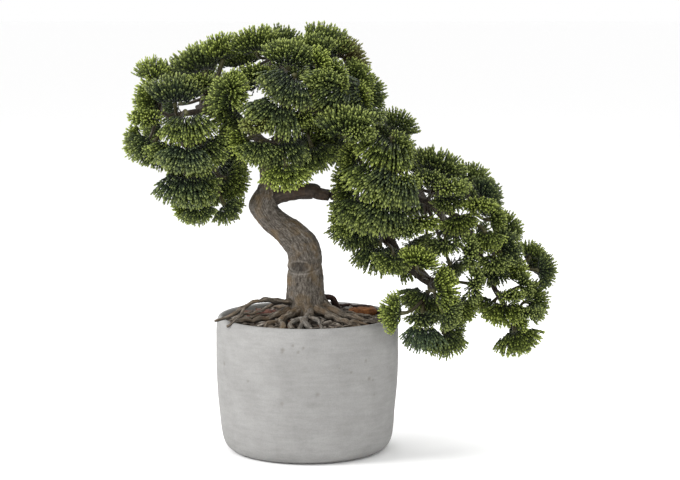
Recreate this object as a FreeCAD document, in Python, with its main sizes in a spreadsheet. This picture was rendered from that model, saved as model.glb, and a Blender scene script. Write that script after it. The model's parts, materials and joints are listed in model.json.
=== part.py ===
import FreeCAD, Part
import math
import os
import PartDesign
import Sketcher

# Artificial tabletop tree: a moulded bonsai with an S-shaped trunk, wired limbs and plastic
# sprays, standing in a round concrete pot. Millimetres, +Z up, origin at the middle of the
# pot's underside, -Y is the viewing side.
#
# Each leaf spray is a fan of many short soft strands. Here one cushion stands for it: a slice of a
# ball lying across the fan, sized to keep clear of the next spray.

V = FreeCAD.Vector
os.makedirs("parts", exist_ok=True)
doc = FreeCAD.newDocument("tabletop_tree")

# ---------------------------------------------------------------- driving dimensions
DIMENSIONS = {
    "pot_radius": 75.5,
    "pot_height": 112,
    "pot_base_radius": 71.5,
    "pot_wall": 5.5,
    "pot_floor": 12,
    "pot_foot_round": 11,
    "pot_lip_round": 3.6,
    "filler_top": 96,
    "filler_gap": 0.4,
    "dressing_edge_top": 107,
    "dressing_crown_top": 112.5,
    "dressing_gap": 1.2,
    "chip_length": 13,
    "chip_width": 7,
    "chip_thickness": 3,
    "rod_radius": 3,
    "rod_bottom": 26,
    "rod_length": 118,
    "trunk_depth_ratio": 0.94,
    "limb_girth": 1,
    "neck_clearance": 0.45,
    "stem_radius": 1.7,
    "stalk_radius": 1.2,
    "cushion_size": 1,
    "cushion_half_angle": 38,
}

dims = doc.addObject("Spreadsheet::Sheet", "Dims")
for row, (alias, value) in enumerate(DIMENSIONS.items(), start=1):
    dims.set("A%d" % row, alias)
    dims.set("B%d" % row, str(value))
    dims.setAlias("B%d" % row, alias)
doc.recompute()


def dim(alias):
    return float(dims.get(alias))


def bind(thing, prop, expression):
    thing.setExpression(prop, expression)


def origin_plane(body, role):
    return next(o for o in body.Origin.OriginFeatures if o.Role == role)


def along(start, end):
    """Placement whose Z axis runs from start towards end."""
    return FreeCAD.Placement(start, FreeCAD.Rotation(V(0, 0, 1), end - start))


# ---------------------------------------------------------------- turned pieces
def turned_body(label, profile, links):
    """Revolve a closed half-profile about Z. links: (point number, 'x' or 'z', expression)."""
    body = doc.addObject("PartDesign::Body", label + "_body")
    sketch = body.newObject("Sketcher::SketchObject", label + "_profile")
    sketch.AttachmentSupport = (origin_plane(body, "XZ_Plane"), [""])
    sketch.MapMode = "FlatFace"
    count = len(profile)
    for k in range(count):
        a, b = profile[k], profile[(k + 1) % count]
        sketch.addGeometry(Part.LineSegment(V(a[0], a[1], 0), V(b[0], b[1], 0)), False)
    for k in range(count):
        sketch.addConstraint(Sketcher.Constraint("Coincident", k, 2, (k + 1) % count, 1))
    for k, (x, z) in enumerate(profile):
        for letter, kind, value in (("x", "DistanceX", x), ("z", "DistanceY", z)):
            number = sketch.addConstraint(Sketcher.Constraint(kind, -1, 1, k, 1, value))
            for point, axis, expression in links:
                if point == k and axis == letter:
                    bind(sketch, "Constraints[%d]" % number, expression)
    turn = body.newObject("PartDesign::Revolution", label + "_turn")
    turn.Profile = sketch
    turn.ReferenceAxis = (sketch, ["V_Axis"])
    turn.Angle = 360
    body.Tip = turn
    doc.recompute()
    return body, turn


def edges_at(shape, radius, height, slack=0.6):
    """Names of the circular edges of this radius at this height."""
    found = []
    for k, edge in enumerate(shape.Edges, start=1):
        curve = edge.Curve
        if isinstance(curve, Part.Circle) and abs(curve.Radius - radius) < slack:
            if abs(curve.Center.z - height) < slack and edge.isClosed():
                found.append("Edge%d" % k)
    return found


def round_edge(body, base, name, radius, height, expression):
    fillet = body.newObject("PartDesign::Fillet", name)
    fillet.Base = (base, edges_at(base.Shape, radius, height))
    bind(fillet, "Radius", expression)
    body.Tip = fillet
    doc.recompute()
    return fillet


inner = dim("pot_radius") - dim("pot_wall")
pot_body, pot_turn = turned_body(
    "pot",
    [
        (0, 0),
        (dim("pot_base_radius"), 0),
        (dim("pot_radius"), 60),
        (dim("pot_radius"), dim("pot_height")),
        (inner, dim("pot_height")),
        (inner - 4, dim("pot_floor")),
        (0, dim("pot_floor")),
    ],
    [
        (1, "x", "Dims.pot_base_radius"),
        (2, "x", "Dims.pot_radius"),
        (3, "x", "Dims.pot_radius"),
        (3, "z", "Dims.pot_height"),
        (4, "x", "Dims.pot_radius - Dims.pot_wall"),
        (4, "z", "Dims.pot_height"),
        (5, "x", "Dims.pot_radius - Dims.pot_wall - 4"),
        (5, "z", "Dims.pot_floor"),
        (6, "z", "Dims.pot_floor"),
    ],
)
pot_step = round_edge(
    pot_body, pot_turn, "pot_foot", dim("pot_base_radius"), 0, "Dims.pot_foot_round"
)
pot_step = round_edge(
    pot_body, pot_step, "pot_lip_out", dim("pot_radius"), dim("pot_height"), "Dims.pot_lip_round"
)
pot_step = round_edge(
    pot_body, pot_step, "pot_lip_in", inner, dim("pot_height"), "Dims.pot_lip_round * 0.35"
)
pot_body.Label = "pot"

# The plaster plug follows the pot's tapering inner wall.
wall_slope = 4 / (dim("pot_height") - dim("pot_floor"))
plug_low = inner - 4 - dim("filler_gap")
plug_high = plug_low + wall_slope * (dim("filler_top") - dim("pot_floor"))
filler_body, filler_turn = turned_body(
    "filler",
    [(0, dim("pot_floor")), (plug_low, dim("pot_floor")), (plug_high, dim("filler_top")),
     (0, dim("filler_top"))],
    [(0, "z", "Dims.pot_floor"), (1, "z", "Dims.pot_floor"), (2, "z", "Dims.filler_top"),
     (3, "z", "Dims.filler_top")],
)
filler_body.Label = "filler_blank"

bed_radius = inner - dim("dressing_gap")
bed_body, bed_turn = turned_body(
    "dressing",
    [(0, dim("filler_top")), (plug_high, dim("filler_top")), (bed_radius, dim("dressing_edge_top")),
     (bed_radius * 0.55, dim("dressing_crown_top") - 1), (0, dim("dressing_crown_top"))],
    [(0, "z", "Dims.filler_top"), (1, "z", "Dims.filler_top"), (2, "z", "Dims.dressing_edge_top"),
     (3, "z", "Dims.dressing_crown_top - 1"), (4, "z", "Dims.dressing_crown_top")],
)
bed_body.Label = "dressing_blank"


# ---------------------------------------------------------------- tubes, cuts and joins
def ball(name, centre, radius):
    sphere = doc.addObject("Part::Sphere", name)
    bind(sphere, "Radius", "Dims.limb_girth * %.3f" % radius)
    sphere.Placement.Base = centre
    return sphere


def join(name, pieces):
    if len(pieces) == 1:
        return pieces[0]
    fused = doc.addObject("Part::MultiFuse", name)
    fused.Shapes = pieces
    return fused


def subtract(name, base, tools):
    cut = doc.addObject("Part::Cut", name)
    cut.Base = base
    cut.Tool = join(name + "_tools", tools)
    return cut


# The ball that each bending limb turns on is a little thicker than the limb.
NECK_SWELL = 1.08


def tube(name, points, ball_start=False):
    """A tapering limb: straight lengths between round sections at (x, y, z, radius) points."""
    places = [V(*point[:3]) for point in points]
    rings = []
    for k, point in enumerate(points):
        before = places[max(k - 1, 0)]
        after = places[min(k + 1, len(points) - 1)]
        ring = doc.addObject("Part::Circle", "%s_ring_%d" % (name, k))
        bind(ring, "Radius", "Dims.limb_girth * %.3f" % point[3])
        ring.Placement = along(places[k], places[k] + (after - before))
        rings.append(ring)
    length = doc.addObject("Part::Loft", name + "_length")
    length.Sections = rings
    length.Solid = True
    length.Ruled = True
    if not ball_start:
        return length
    neck = ball(name + "_neck", places[0], points[0][3] * NECK_SWELL)
    return join(name + "_blank", [length, neck])


# ---------------------------------------------------------------- trunk
# Sections up the S curve: x, height, radius, lean of the section in degrees.
TRUNK = [
    (1, 96, 20, 0),
    (1, 108, 19.5, 0),
    (0, 116, 17.3, 0),
    (-1.5, 128, 15.4, 0),
    (-2, 142, 14.2, 0),
    (-2, 152, 13, 0),
    (-2, 161, 13.3, -8),
    (-4.5, 170, 13.4, -28),
    (-12, 178, 12.5, -50),
    (-21, 185, 11, -54),
    (-30, 193, 10.5, -48),
    (-36, 203, 11, -12),
    (-34, 211, 9.6, 8),
    (-33.5, 216.5, 6.5, 5),
]
rings = []
for k, (x, z, radius, lean) in enumerate(TRUNK):
    ring = doc.addObject("Part::Ellipse", "trunk_ring_%d" % k)
    ring.MajorRadius = radius
    bind(ring, "MinorRadius", "Dims.trunk_depth_ratio * %.3f" % radius)
    ring.Placement = FreeCAD.Placement(V(x, 0, z), FreeCAD.Rotation(V(0, 1, 0), lean))
    rings.append(ring)
trunk_blank = doc.addObject("Part::Loft", "trunk_blank")
trunk_blank.Sections = rings
trunk_blank.Solid = True
trunk_blank.Ruled = False

rod_body = doc.addObject("PartDesign::Body", "rod_body")
rod_sketch = rod_body.newObject("Sketcher::SketchObject", "rod_section")
rod_sketch.AttachmentSupport = (origin_plane(rod_body, "XY_Plane"), [""])
rod_sketch.MapMode = "FlatFace"
rod_sketch.addGeometry(Part.Circle(V(0, 0, 0), V(0, 0, 1), 3), False)
rod_sketch.addConstraint(Sketcher.Constraint("Coincident", 0, 3, -1, 1))
rod_round = rod_sketch.addConstraint(Sketcher.Constraint("Radius", 0, 3))
bind(rod_sketch, "Constraints[%d]" % rod_round, "Dims.rod_radius")
rod_pad = rod_body.newObject("PartDesign::Pad", "rod_pad")
rod_pad.Profile = rod_sketch
bind(rod_pad, "Length", "Dims.rod_length")
rod_body.Tip = rod_pad
rod_body.Placement = FreeCAD.Placement(V(-1, 0, dim("rod_bottom")), FreeCAD.Rotation())
rod_body.Label = "anchor_rod"
doc.recompute()

trunk = subtract("trunk_bored", trunk_blank, [rod_body])
trunk.Label = "trunk"
filler = subtract("filler_bored", filler_body, [rod_body])
filler.Label = "filler"

# ---------------------------------------------------------------- surface roots
ROOTS = {
    "root_left_arch": [(-9, -7, 120, 4.4), (-27, -16, 126.2, 2.6), (-40, -24, 127.2, 2.2), (-49, -29, 124.6, 2.1),
                       (-56, -34, 119.4, 2.1), (-65, -39, 115.6, 1.9), (-73, -42, 113.8, 1.3)],
    "root_left_low": [(-11, -8, 115, 4.6), (-22, -16, 115.5, 3.2), (-32, -26, 112.5, 2.6), (-44, -32, 112.4, 2.2),
                      (-57, -35, 110.6, 1.6)],
    "root_front_left": [(-7, -11, 117, 4.4), (-14, -22, 115, 3.4), (-22, -34, 112.4, 2.8), (-31, -43, 111.2, 2.4),
                        (-36, -52, 108.4, 1.8)],
    "root_front_knot": [(3, -13, 117, 3.8), (2, -24, 115.5, 3), (0, -34, 114, 3.2), (-3, -44, 112.6, 3.4),
                        (1, -52, 110, 2.8), (6, -57, 108, 1.8)],
    "root_front_right": [(9, -10, 118, 4.6), (17, -20, 115.8, 3.4), (25, -30, 112.8, 2.8), (34, -38, 111, 2.4),
                         (44, -43, 108.8, 1.6)],
    "root_right_long": [(12, -4, 120, 5), (20, -9, 116.6, 4), (30, -14, 113.6, 3), (43, -22, 111.8, 2.4),
                        (57, -28, 110.6, 1.6)],
    "root_right_knee": [(10, 8, 119, 3.4), (14.5, 12, 122.6, 3.4), (19.5, 15, 122.4, 3.2), (24, 18, 118.5, 2.8),
                        (26.5, 20, 111, 2.4)],
    "root_back": [(-6, 11, 117, 4.2), (-12, 24, 115, 3.2), (-22, 40, 112, 2.4), (-31, 52, 108.8, 1.6)],
}
root_parts = {}
for name, points in ROOTS.items():
    blank = tube(name, points)
    root_parts[name] = blank

# Two loose pieces of bark lie among the roots.
CHUNKS = {
    "bark_chunk_right": ((46, 8, 111), (24, 13, 7), 14),
    "bark_chunk_left": ((-34, -2, 111), (18, 11, 7), -20),
}
chunk_parts = {}
for name, (place, size, turn) in CHUNKS.items():
    slab = doc.addObject("Part::Box", name + "_slab")
    slab.Length, slab.Width, slab.Height = size
    tilt = FreeCAD.Rotation(turn, 6, 9)
    slab.Placement = FreeCAD.Placement(
        V(*place) - tilt.multVec(V(size[0] / 2, size[1] / 2, size[2] / 2)), tilt
    )
    worn = doc.addObject("Part::Chamfer", name + "_worn")
    worn.Base = slab
    worn.Edges = [(k, 1.6, 2.4) for k in (1, 3, 5, 7)]
    chunk_parts[name] = worn

# ---------------------------------------------------------------- limbs
# (x, y, z, radius) down each limb, thick end first.
FIXED_LIMBS = {
    "leader": [(-34, 0, 213, 5.8), (-34, 0, 224, 4.9), (-33, 2, 240, 4.5), (-32, 3, 255.5, 4.9)],
    "right_bough": [(-30, 0, 210, 7.2), (-12, 0, 213.8, 6.7), (5, 0, 214.4, 6.9), (10, 0, 212.4, 5),
                    (18, 0, 211.4, 4.5)],
}
LEFT_LIMBS = {
    "left_limb": [(-39, 2, 257, 4), (-60, 2, 276, 3.8), (-85, 2, 280, 3.2), (-114, 0, 276, 2.2)],
    "left_low_twig": [(-58, 0, 274, 3), (-78, -5, 250, 2.8), (-86, -7, 238, 2.5), (-92, -8, 218, 2)],
    "left_back_twig": [(-70, 4, 278, 2.8), (-82, 26, 284, 2.5), (-94, 54, 281, 2)],
}
RIGHT_LIMBS = {
    "right_limb": [(-25, 4, 257, 4.2), (-12, 3, 272, 4), (5, 3, 282, 3.8), (30, 2, 285, 3),
                   (48, 0, 290, 2.2)],
    "top_twig": [(-13, 3, 272, 3), (-22, 3, 300, 2.8), (-20, 2, 324, 2)],
    "top_right_twig": [(4, 3, 282, 3), (12, 2, 305, 2.6), (18, 2, 324, 1.9)],
    "front_twig": [(-13, 2, 272, 3), (-15, -18, 276, 2.6), (-18, -42, 264, 2)],
    "crown_back_twig": [(-2, 4, 279, 3), (-8, 32, 285, 2.6), (-10, 56, 281, 2)],
}
CASCADE_LIMBS = {
    "cascade_limb": [(22, 0, 211, 4.2), (40, 0, 204, 4), (62, -2, 184, 4), (76, -3, 162, 3.8),
                     (92, -4, 145, 3.2), (112, -4, 132, 2.6), (127, -4, 118, 2)],
    "cascade_upper_limb": [(38, 0, 205, 3.4), (66, 2, 214, 3.3), (100, 4, 205, 3), (128, 4, 188, 2.7),
                           (146, 2, 156, 2.4), (156, 0, 132, 2.2), (168, 0, 112, 1.8)],
    "cascade_front_twig": [(52, -1, 193, 2.8), (58, -20, 202, 2.6), (63, -34, 222, 2)],
    "cascade_back_twig": [(98, 4, 206, 2.6), (94, 28, 213, 2.4), (92, 50, 214, 2)],
}
BODIES = (LEFT_LIMBS, RIGHT_LIMBS, CASCADE_LIMBS)

# Each sprig: its limb, where its stem leaves the limb, and its sprays. A spray is the hub its strands
# grow from, the way it faces, its reach from hub to tips and its roll about that direction.
SPRIGS = {
    "sprig_left_tip": ("left_limb", (-112, 0, 276), [
        (-126, 0, 306, 0, 0, 1, 20, -35),
        (-121, -4, 289, -1, -0.1, 0, 21, 0),
        (-126, -20, 276, -0.5, -0.85, 0.1, 18, 0),
        (-134, -4, 255, -1, -0.1, -0.1, 17, 0),
        (-124, 22, 284, -0.7, 0.6, 0.3, 20, 0)]),
    "sprig_left_front": ("left_limb", (-100, 0, 278), [
        (-106, -22, 287, 0, -0.3, 1, 25, 0),
        (-122, -26, 258, -0.5, -0.5, -0.7, 23, 0),
        (-108, -38, 257, -0.2, -0.5, -0.9, 21, 0),
        (-95, -42, 281, 0.1, -0.4, -0.95, 26, 0)]),
    "sprig_left_top": ("left_limb", (-85, 2, 280), [
        (-84, -5, 311, -0.3, -0.1, 0.95, 25, 0),
        (-108, 16, 306, -0.1, 0.3, 0.95, 19, 0),
        (-68, -12, 322, 0, -0.1, 1, 23, 45),
        (-86, -14, 300, -0.1, -0.8, 0.5, 18, 0),
        (-58, -38, 294, -0.75, -0.4, 0.5, 21, 0),
        (-61, -40, 299, 0.8, -0.5, 0.1, 19, 0),
        (-52, -24, 284, -0.8, -0.3, -0.6, 28, 0)]),
    "sprig_left_low_front": ("left_low_twig", (-78, -5, 250), [
        (-85, -38, 257, 0.6, -0.3, -0.75, 25, 0),
        (-96, -46, 256, -0.1, -0.5, -0.9, 24, 0)]),
    "sprig_left_low": ("left_low_twig", (-90, -8, 225), [
        (-97, -32, 232, -0.1, -0.5, -0.9, 28, 0),
        (-99, -12, 231, -0.9, -0.2, -0.3, 16, 0),
        (-89, -32, 224, 0.5, -0.4, -0.8, 21, 0),
        (-95, -20, 205, -0.9, -0.1, -0.45, 15, 0),
        (-88, -28, 206, 0.2, -0.3, -0.95, 17, 0)]),
    "sprig_left_low_inner": ("left_low_twig", (-82, -6, 238), [
        (-72, -2, 226, 0.1, -0.1, -1, 23, 0),
        (-67, -4, 226, 0.95, -0.1, -0.25, 21, 0),
        (-67, -22, 206, 0.6, -0.2, -0.75, 17, 0),
        (-72, 18, 238, 0.9, 0.2, -0.35, 22, 0)]),
    "sprig_left_back": ("left_back_twig", (-91, 49, 280), [
        (-108, 52, 284, -0.8, 0.5, 0.2, 22, 0),
        (-92, 58, 300, -0.1, 0.5, 0.9, 22, 0),
        (-78, 62, 280, 0.3, 0.9, 0, 22, 0),
        (-98, 56, 262, -0.3, 0.6, -0.8, 22, 0),
        (-84, 24, 316, -0.2, 0.4, 0.9, 22, 0),
        (-72, 30, 317, 0.1, 0.4, 0.95, 22, 0),
        (-70, 40, 300, 0.2, 0.9, 0.3, 20, 0)]),
    "sprig_left_back_low": ("left_low_twig", (-84, -6, 241), [
        (-104, 30, 240, -0.7, 0.4, -0.6, 22, 0),
        (-84, 36, 232, 0, 0.5, -0.9, 22, 0),
        (-66, 40, 250, 0.4, 0.7, -0.6, 22, 0),
        (-122, 28, 262, -0.9, 0.4, 0, 20, 0)]),
    "sprig_top": ("top_twig", (-21, 3, 319), [
        (-40, -14, 328, -0.2, -0.3, 1, 23, 0),
        (-54, 10, 316, -0.2, 0.2, 1, 20, 0),
        (-38, -24, 308, -0.2, -0.8, 0.6, 18, 0),
        (-22, 4, 329, 0.15, 0.1, 1, 22, 0),
        (-14, -28, 316, 0.15, -0.4, 0.95, 25, 0),
        (-28, 24, 326, -0.1, 0.4, 0.95, 22, 0)]),
    "sprig_top_right": ("top_right_twig", (15, 2, 315), [
        (5, -12, 323, -0.1, -0.2, 1, 22, 0),
        (14, 0, 328, 0.4, 0, 0.9, 24, 0),
        (28, 2, 320, 0.85, -0.1, 0.55, 22, 0),
        (8, -36, 319, 0.8, -0.6, 0.2, 16, 0),
        (8, 24, 322, 0.2, 0.5, 0.9, 22, 0),
        (21, -34, 309, 0.75, -0.6, 0.2, 17, 0),
        (14, -42, 302, -0.1, -0.7, 0.7, 18, 0),
        (36, -6, 304, 0.9, -0.2, 0.4, 20, 0)]),
    "sprig_right_tip": ("right_limb", (46, 0, 290), [
        (45, 0, 292, 1, 0, 0.15, 21, 0),
        (40, -22, 290, 0.8, -0.6, 0.1, 17, 0),
        (48, -32, 279, 0.5, -0.8, -0.1, 17, 0),
        (40, 22, 296, 0.7, 0.6, 0.3, 21, 0)]),
    "sprig_right_comb": ("right_limb", (28, 2, 285), [
        (48, -28, 296, -0.95, -0.15, -0.3, 30, 0),
        (29, -40, 305, -0.8, -0.2, -0.55, 30, 0),
        (32, -46, 263, -0.05, -0.4, 0.9, 26, 0),
        (40, -48, 266, 0.5, -0.8, 0, 17, 0)]),
    "sprig_crown_front": ("front_twig", (-15, -30, 276), [
        (-9, -46, 312, -0.5, -0.3, -0.8, 27, 0),
        (-20, -50, 291, -0.4, -0.3, -0.85, 28, 0),
        (-6, -38, 280, -0.3, -0.8, -0.4, 18, 0),
        (-37, -50, 272, -0.5, -0.8, 0, 16, 0)]),
    "sprig_bright": ("front_twig", (-18, -40, 266), [
        (-21, -44, 260, 0.1, -0.3, -0.95, 26, 0),
        (-16, -56, 241, 0.05, -0.45, -0.9, 22, 0),
        (-36, -48, 259, -0.1, -0.4, -0.95, 20, 0),
        (-46, -42, 261, -0.65, -0.4, -0.7, 19, 0)]),
    "sprig_crown_under": ("right_limb", (-8, 3, 275), [
        (-8, -6, 262, 0.75, 0, -0.6, 32, 0),
        (4, -24, 254, 0.35, -0.2, -0.95, 23, 0),
        (30, -8, 262, -0.5, 0, -0.85, 26, 0),
        (8, -2, 278, 0.2, -0.6, -0.6, 20, 0)]),
    "sprig_crown_back": ("crown_back_twig", (-9, 52, 282), [
        (-38, 50, 300, -0.4, 0.7, 0.6, 22, 0),
        (-14, 60, 302, 0, 0.6, 0.8, 22, 0),
        (-30, 60, 276, -0.4, 0.9, -0.1, 22, 0),
        (-12, 56, 258, 0, 0.7, -0.8, 22, 0),
        (14, 48, 304, 0.3, 0.6, 0.7, 22, 0),
        (28, 44, 284, 0.7, 0.7, 0.1, 22, 0),
        (12, 58, 280, 0.2, 0.9, -0.1, 22, 0),
        (14, 40, 260, 0.3, 0.5, -0.8, 22, 0)]),
    "sprig_cascade_left": ("cascade_limb", (45, -2, 201), [
        (35, -18, 195, -0.9, -0.2, -0.3, 18, 0),
        (43, -11, 190, -0.3, -0.1, -0.95, 25, 0),
        (38, -22, 222, -0.9, -0.35, -0.2, 20, 0),
        (42, -28, 244, -0.85, -0.4, 0.1, 18, 0),
        (40, 26, 205, -0.3, 0.8, -0.4, 21, 0)]),
    "sprig_cascade_front": ("cascade_front_twig", (62, -30, 212), [
        (68, -38, 262, -0.45, -0.35, -0.85, 30, 0),
        (60, -44, 238, -0.45, -0.3, -0.85, 30, 0),
        (50, -40, 212, -0.35, -0.3, -0.9, 28, 0),
        (74, -48, 236, -0.4, -0.3, -0.9, 30, 0),
        (66, -44, 212, -0.35, -0.3, -0.9, 27, 0)]),
    "sprig_cascade_top": ("cascade_upper_limb", (66, 2, 214), [
        (72, -4, 264, 0.4, -0.1, 0.9, 20, 0),
        (72, -32, 250, 0.75, -0.6, 0.25, 18, 0),
        (60, 14, 255, 0.3, 0.2, 0.95, 17, 0),
        (70, 22, 250, 0.3, 0.7, 0.6, 21, 0)]),
    "sprig_cascade_dome": ("cascade_upper_limb", (100, 4, 205), [
        (104, -16, 228, 0.3, -0.4, 0.85, 25, 0),
        (98, -30, 224, -0.1, -0.85, 0.5, 18, 0),
        (114, -30, 220, 0.5, -0.8, 0.2, 19, 0),
        (76, -42, 226, 0.6, -0.8, 0.1, 17, 0),
        (100, 24, 222, 0.2, 0.6, 0.7, 22, 0),
        (116, -20, 213, 0, -0.6, -0.8, 17, 0)]),
    "sprig_cascade_right": ("cascade_upper_limb", (130, 4, 188), [
        (133, 0, 220, 0.3, 0, 0.95, 20, 0),
        (143, -4, 210, 0.7, -0.2, 0.65, 19, 0),
        (139, -24, 204, 0.1, -0.9, 0.3, 16, 0),
        (149, -16, 193, 0.8, -0.5, 0.2, 16, 0),
        (138, 26, 200, 0.5, 0.7, 0.5, 20, 0)]),
    "sprig_cascade_far": ("cascade_upper_limb", (146, 2, 158), [
        (162, 0, 182, 0.8, 0, 0.55, 17, 0),
        (158, -18, 168, 0.85, -0.4, 0.4, 20, 0),
        (152, -30, 164, 0, -0.8, -0.6, 17, 0),
        (164, -12, 146, 0.65, -0.2, 0.7, 20, 0),
        (158, 20, 164, 0.6, 0.7, 0.2, 19, 0),
        (152, -14, 153, -0.1, -0.5, -0.85, 17, 0)]),
    "sprig_cascade_mid": ("cascade_upper_limb", (112, 4, 199), [
        (92, -36, 196, 0, -0.85, -0.4, 18, 0),
        (80, -42, 192, -0.2, -0.8, -0.5, 17, 0),
        (123, -21, 197, 0.2, -0.6, -0.8, 19, 0),
        (112, -32, 178, -0.2, -0.8, -0.5, 18, 0),
        (145, -26, 184, 0, -0.4, -0.9, 19, 0),
        (130, -38, 168, 0.25, -0.9, 0.1, 18, 90)]),
    "sprig_cascade_arc": ("cascade_limb", (94, -4, 144), [
        (89, -44, 159, 0.3, -0.5, 0.8, 19, 0),
        (103, -42, 138, 0.9, -0.4, 0.1, 22, 0),
        (111, -46, 122, 0.7, -0.6, -0.3, 17, 0),
        (80, 6, 166, 0.8, 0.1, -0.55, 25, 0),
        (133, -38, 143, 0.35, -0.9, 0, 18, 80)]),
    "sprig_cascade_low": ("cascade_limb", (121, -4, 124), [
        (125, -10, 122, 0.6, -0.1, -0.8, 18, 0),
        (114, -18, 102, 0.85, -0.2, -0.5, 17, 0),
        (112, -26, 101, 0, -0.2, -1, 21, 0),
        (118, 20, 118, 0.3, 0.7, -0.6, 20, 0)]),
    "sprig_cascade_low_left": ("cascade_limb", (104, -4, 137), [
        (96, -28, 108, -0.2, -0.2, -1, 23, 0),
        (76, -62, 123, -0.95, -0.15, 0.1, 19, 0),
        (99, -14, 134, -0.4, -0.1, -0.9, 24, 0),
        (98, 20, 124, -0.1, 0.7, -0.7, 20, 0),
        (94, -34, 118, 0, -0.8, -0.6, 16, 0)]),
    "sprig_cascade_inner": ("cascade_limb", (64, -2, 181), [
        (60, -17, 173, -0.05, -0.2, -1, 25, 0),
        (70, -32, 166, -0.2, -0.6, -0.75, 19, 0),
        (60, 24, 180, -0.1, 0.8, -0.5, 21, 0)]),
    "sprig_cascade_tail": ("cascade_upper_limb", (168, 0, 112), [
        (181, -8, 124, 1, -0.1, 0, 20, 0),
        (180, -30, 119, 0.6, -0.8, 0, 14, 0),
        (171, -12, 101, 0.3, -0.3, -0.9, 22, 0),
        (169, 6, 101, 0.95, 0.1, -0.2, 12, 0),
        (170, -20, 112, 0.6, -0.7, 0.3, 14, 0)]),
    "sprig_cascade_hanging": ("cascade_upper_limb", (156, 0, 132), [
        (155, -4, 124, -0.5, -0.1, -0.85, 17, 0),
        (161, -22, 125, 0, -0.5, -0.85, 21, 0),
        (163, -30, 131, 0.5, -0.75, 0.3, 15, 0),
        (174, -22, 138, 0.7, -0.6, 0.2, 14, 0)]),
    "sprig_cascade_tip": ("cascade_upper_limb", (150, 2, 150), [
        (190, -8, 150, 1, -0.25, 0, 17, 0),
        (184, 0, 160, 0.4, 0, 0.9, 14, 0),
        (185, 8, 150, 0.8, 0.2, 0.6, 19, 0)]),
    "sprig_cascade_back": ("cascade_back_twig", (92, 44, 214), [
        (74, 46, 224, -0.5, 0.7, 0.5, 22, 0),
        (94, 54, 226, 0.1, 0.6, 0.8, 22, 0),
        (112, 50, 208, 0.6, 0.8, 0, 22, 0),
        (90, 56, 200, 0, 0.8, -0.6, 22, 0),
        (120, 36, 180, 0.3, 0.8, -0.4, 20, 0),
        (100, 40, 166, -0.2, 0.8, -0.6, 21, 0),
        (140, 34, 170, 0.6, 0.7, -0.2, 20, 0),
        (120, 30, 150, 0.3, 0.7, -0.6, 20, 0)]),
}


def unit(x, y, z):
    vector = V(x, y, z)
    return vector.normalize()


def fan_normal(axis, roll):
    """Direction across a fan's thin side: towards the front, or up when the tips face the front."""
    reference = V(0, -1, 0)
    if abs(axis.dot(reference)) > 0.75:
        reference = V(0, 0, 1)
    flat = (reference - axis * reference.dot(axis)).normalize()
    return FreeCAD.Rotation(axis, roll).multVec(flat)


def body_of(limb):
    return next(k for k, limbs in enumerate(BODIES) if limb in limbs)


# Room across a bending neck, so that neighbouring bodies stay apart when both bend.
SWAY = 12.0
# A cushion grows to this share of the way to its nearest neighbour, but no more than its full size.
SHARE = 0.48
FULL = 0.58
sprays = []
for name, (limb, root, fans) in SPRIGS.items():
    for x, y, z, ax, ay, az, reach, roll in fans:
        axis = unit(ax, ay, az)
        centre = V(x, y, z) + axis * (reach * 0.5)
        sprays.append({"sprig": name, "body": body_of(limb), "centre": centre, "axis": axis,
                       "reach": reach, "flat": fan_normal(axis, roll)})
for spray in sprays:
    rooms = [
        (spray["centre"] - other["centre"]).Length
        - (0 if other["body"] == spray["body"] else SWAY)
        for other in sprays
        if other is not spray
    ]
    spray["radius"] = min(FULL * spray["reach"], SHARE * min(rooms))


def cushion(name, spray):
    piece = doc.addObject("Part::Sphere", name)
    bind(piece, "Radius", "Dims.cushion_size * %.2f" % spray["radius"])
    bind(piece, "Angle1", "-Dims.cushion_half_angle")
    bind(piece, "Angle2", "Dims.cushion_half_angle")
    piece.Placement = FreeCAD.Placement(
        spray["centre"], FreeCAD.Rotation(V(0, 0, 1), spray["flat"])
    )
    return piece


def rod(name, start, end, radius):
    piece = doc.addObject("Part::Cylinder", name)
    bind(piece, "Radius", "Dims." + radius)
    piece.Height = (end - start).Length
    piece.Placement = along(start, end)
    return piece


# A sprig is one stem pushed into its limb, a fork, and a stalk to each spray.
sprig_parts = {}
sprig_stems = {}
for name, (limb, root, fans) in SPRIGS.items():
    mine = [spray for spray in sprays if spray["sprig"] == name]
    middle = V(0, 0, 0)
    for spray in mine:
        middle = middle + spray["centre"] * (1 / len(mine))
    start = V(*root)
    fork = start + (middle - start) * 0.45
    stem = [rod(name + "_stem", start, fork, "stem_radius")]
    knuckle = doc.addObject("Part::Sphere", name + "_fork")
    bind(knuckle, "Radius", "Dims.stem_radius * 1.3")
    knuckle.Placement.Base = fork
    stem.append(knuckle)
    for k, spray in enumerate(mine):
        reach_in = spray["centre"] + (fork - spray["centre"]).normalize() * (spray["radius"] * 0.4)
        stem.append(rod("%s_stalk_%d" % (name, k), fork, reach_in, "stalk_radius"))
    sprig_stems[name] = stem
    cushions = [cushion("%s_spray_%d" % (name, k), spray) for k, spray in enumerate(mine)]
    sprig_parts[name] = (limb, join(name + "_stalks", stem), join(name + "_sprays", cushions))
doc.recompute()


def boxes_meet(a, b):
    return a.BoundBox.intersect(b.BoundBox)


# ---------------------------------------------------------------- fitting pieces together
nodes = {"pot": pot_body, "anchor_rod": rod_body, "trunk": trunk, "filler": filler}

fixed = {name: tube(name, points) for name, points in FIXED_LIMBS.items()}
moving = [
    {name: tube(name, points, k == 0) for k, (name, points) in enumerate(limbs.items())}
    for limbs in BODIES
]
doc.recompute()

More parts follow.
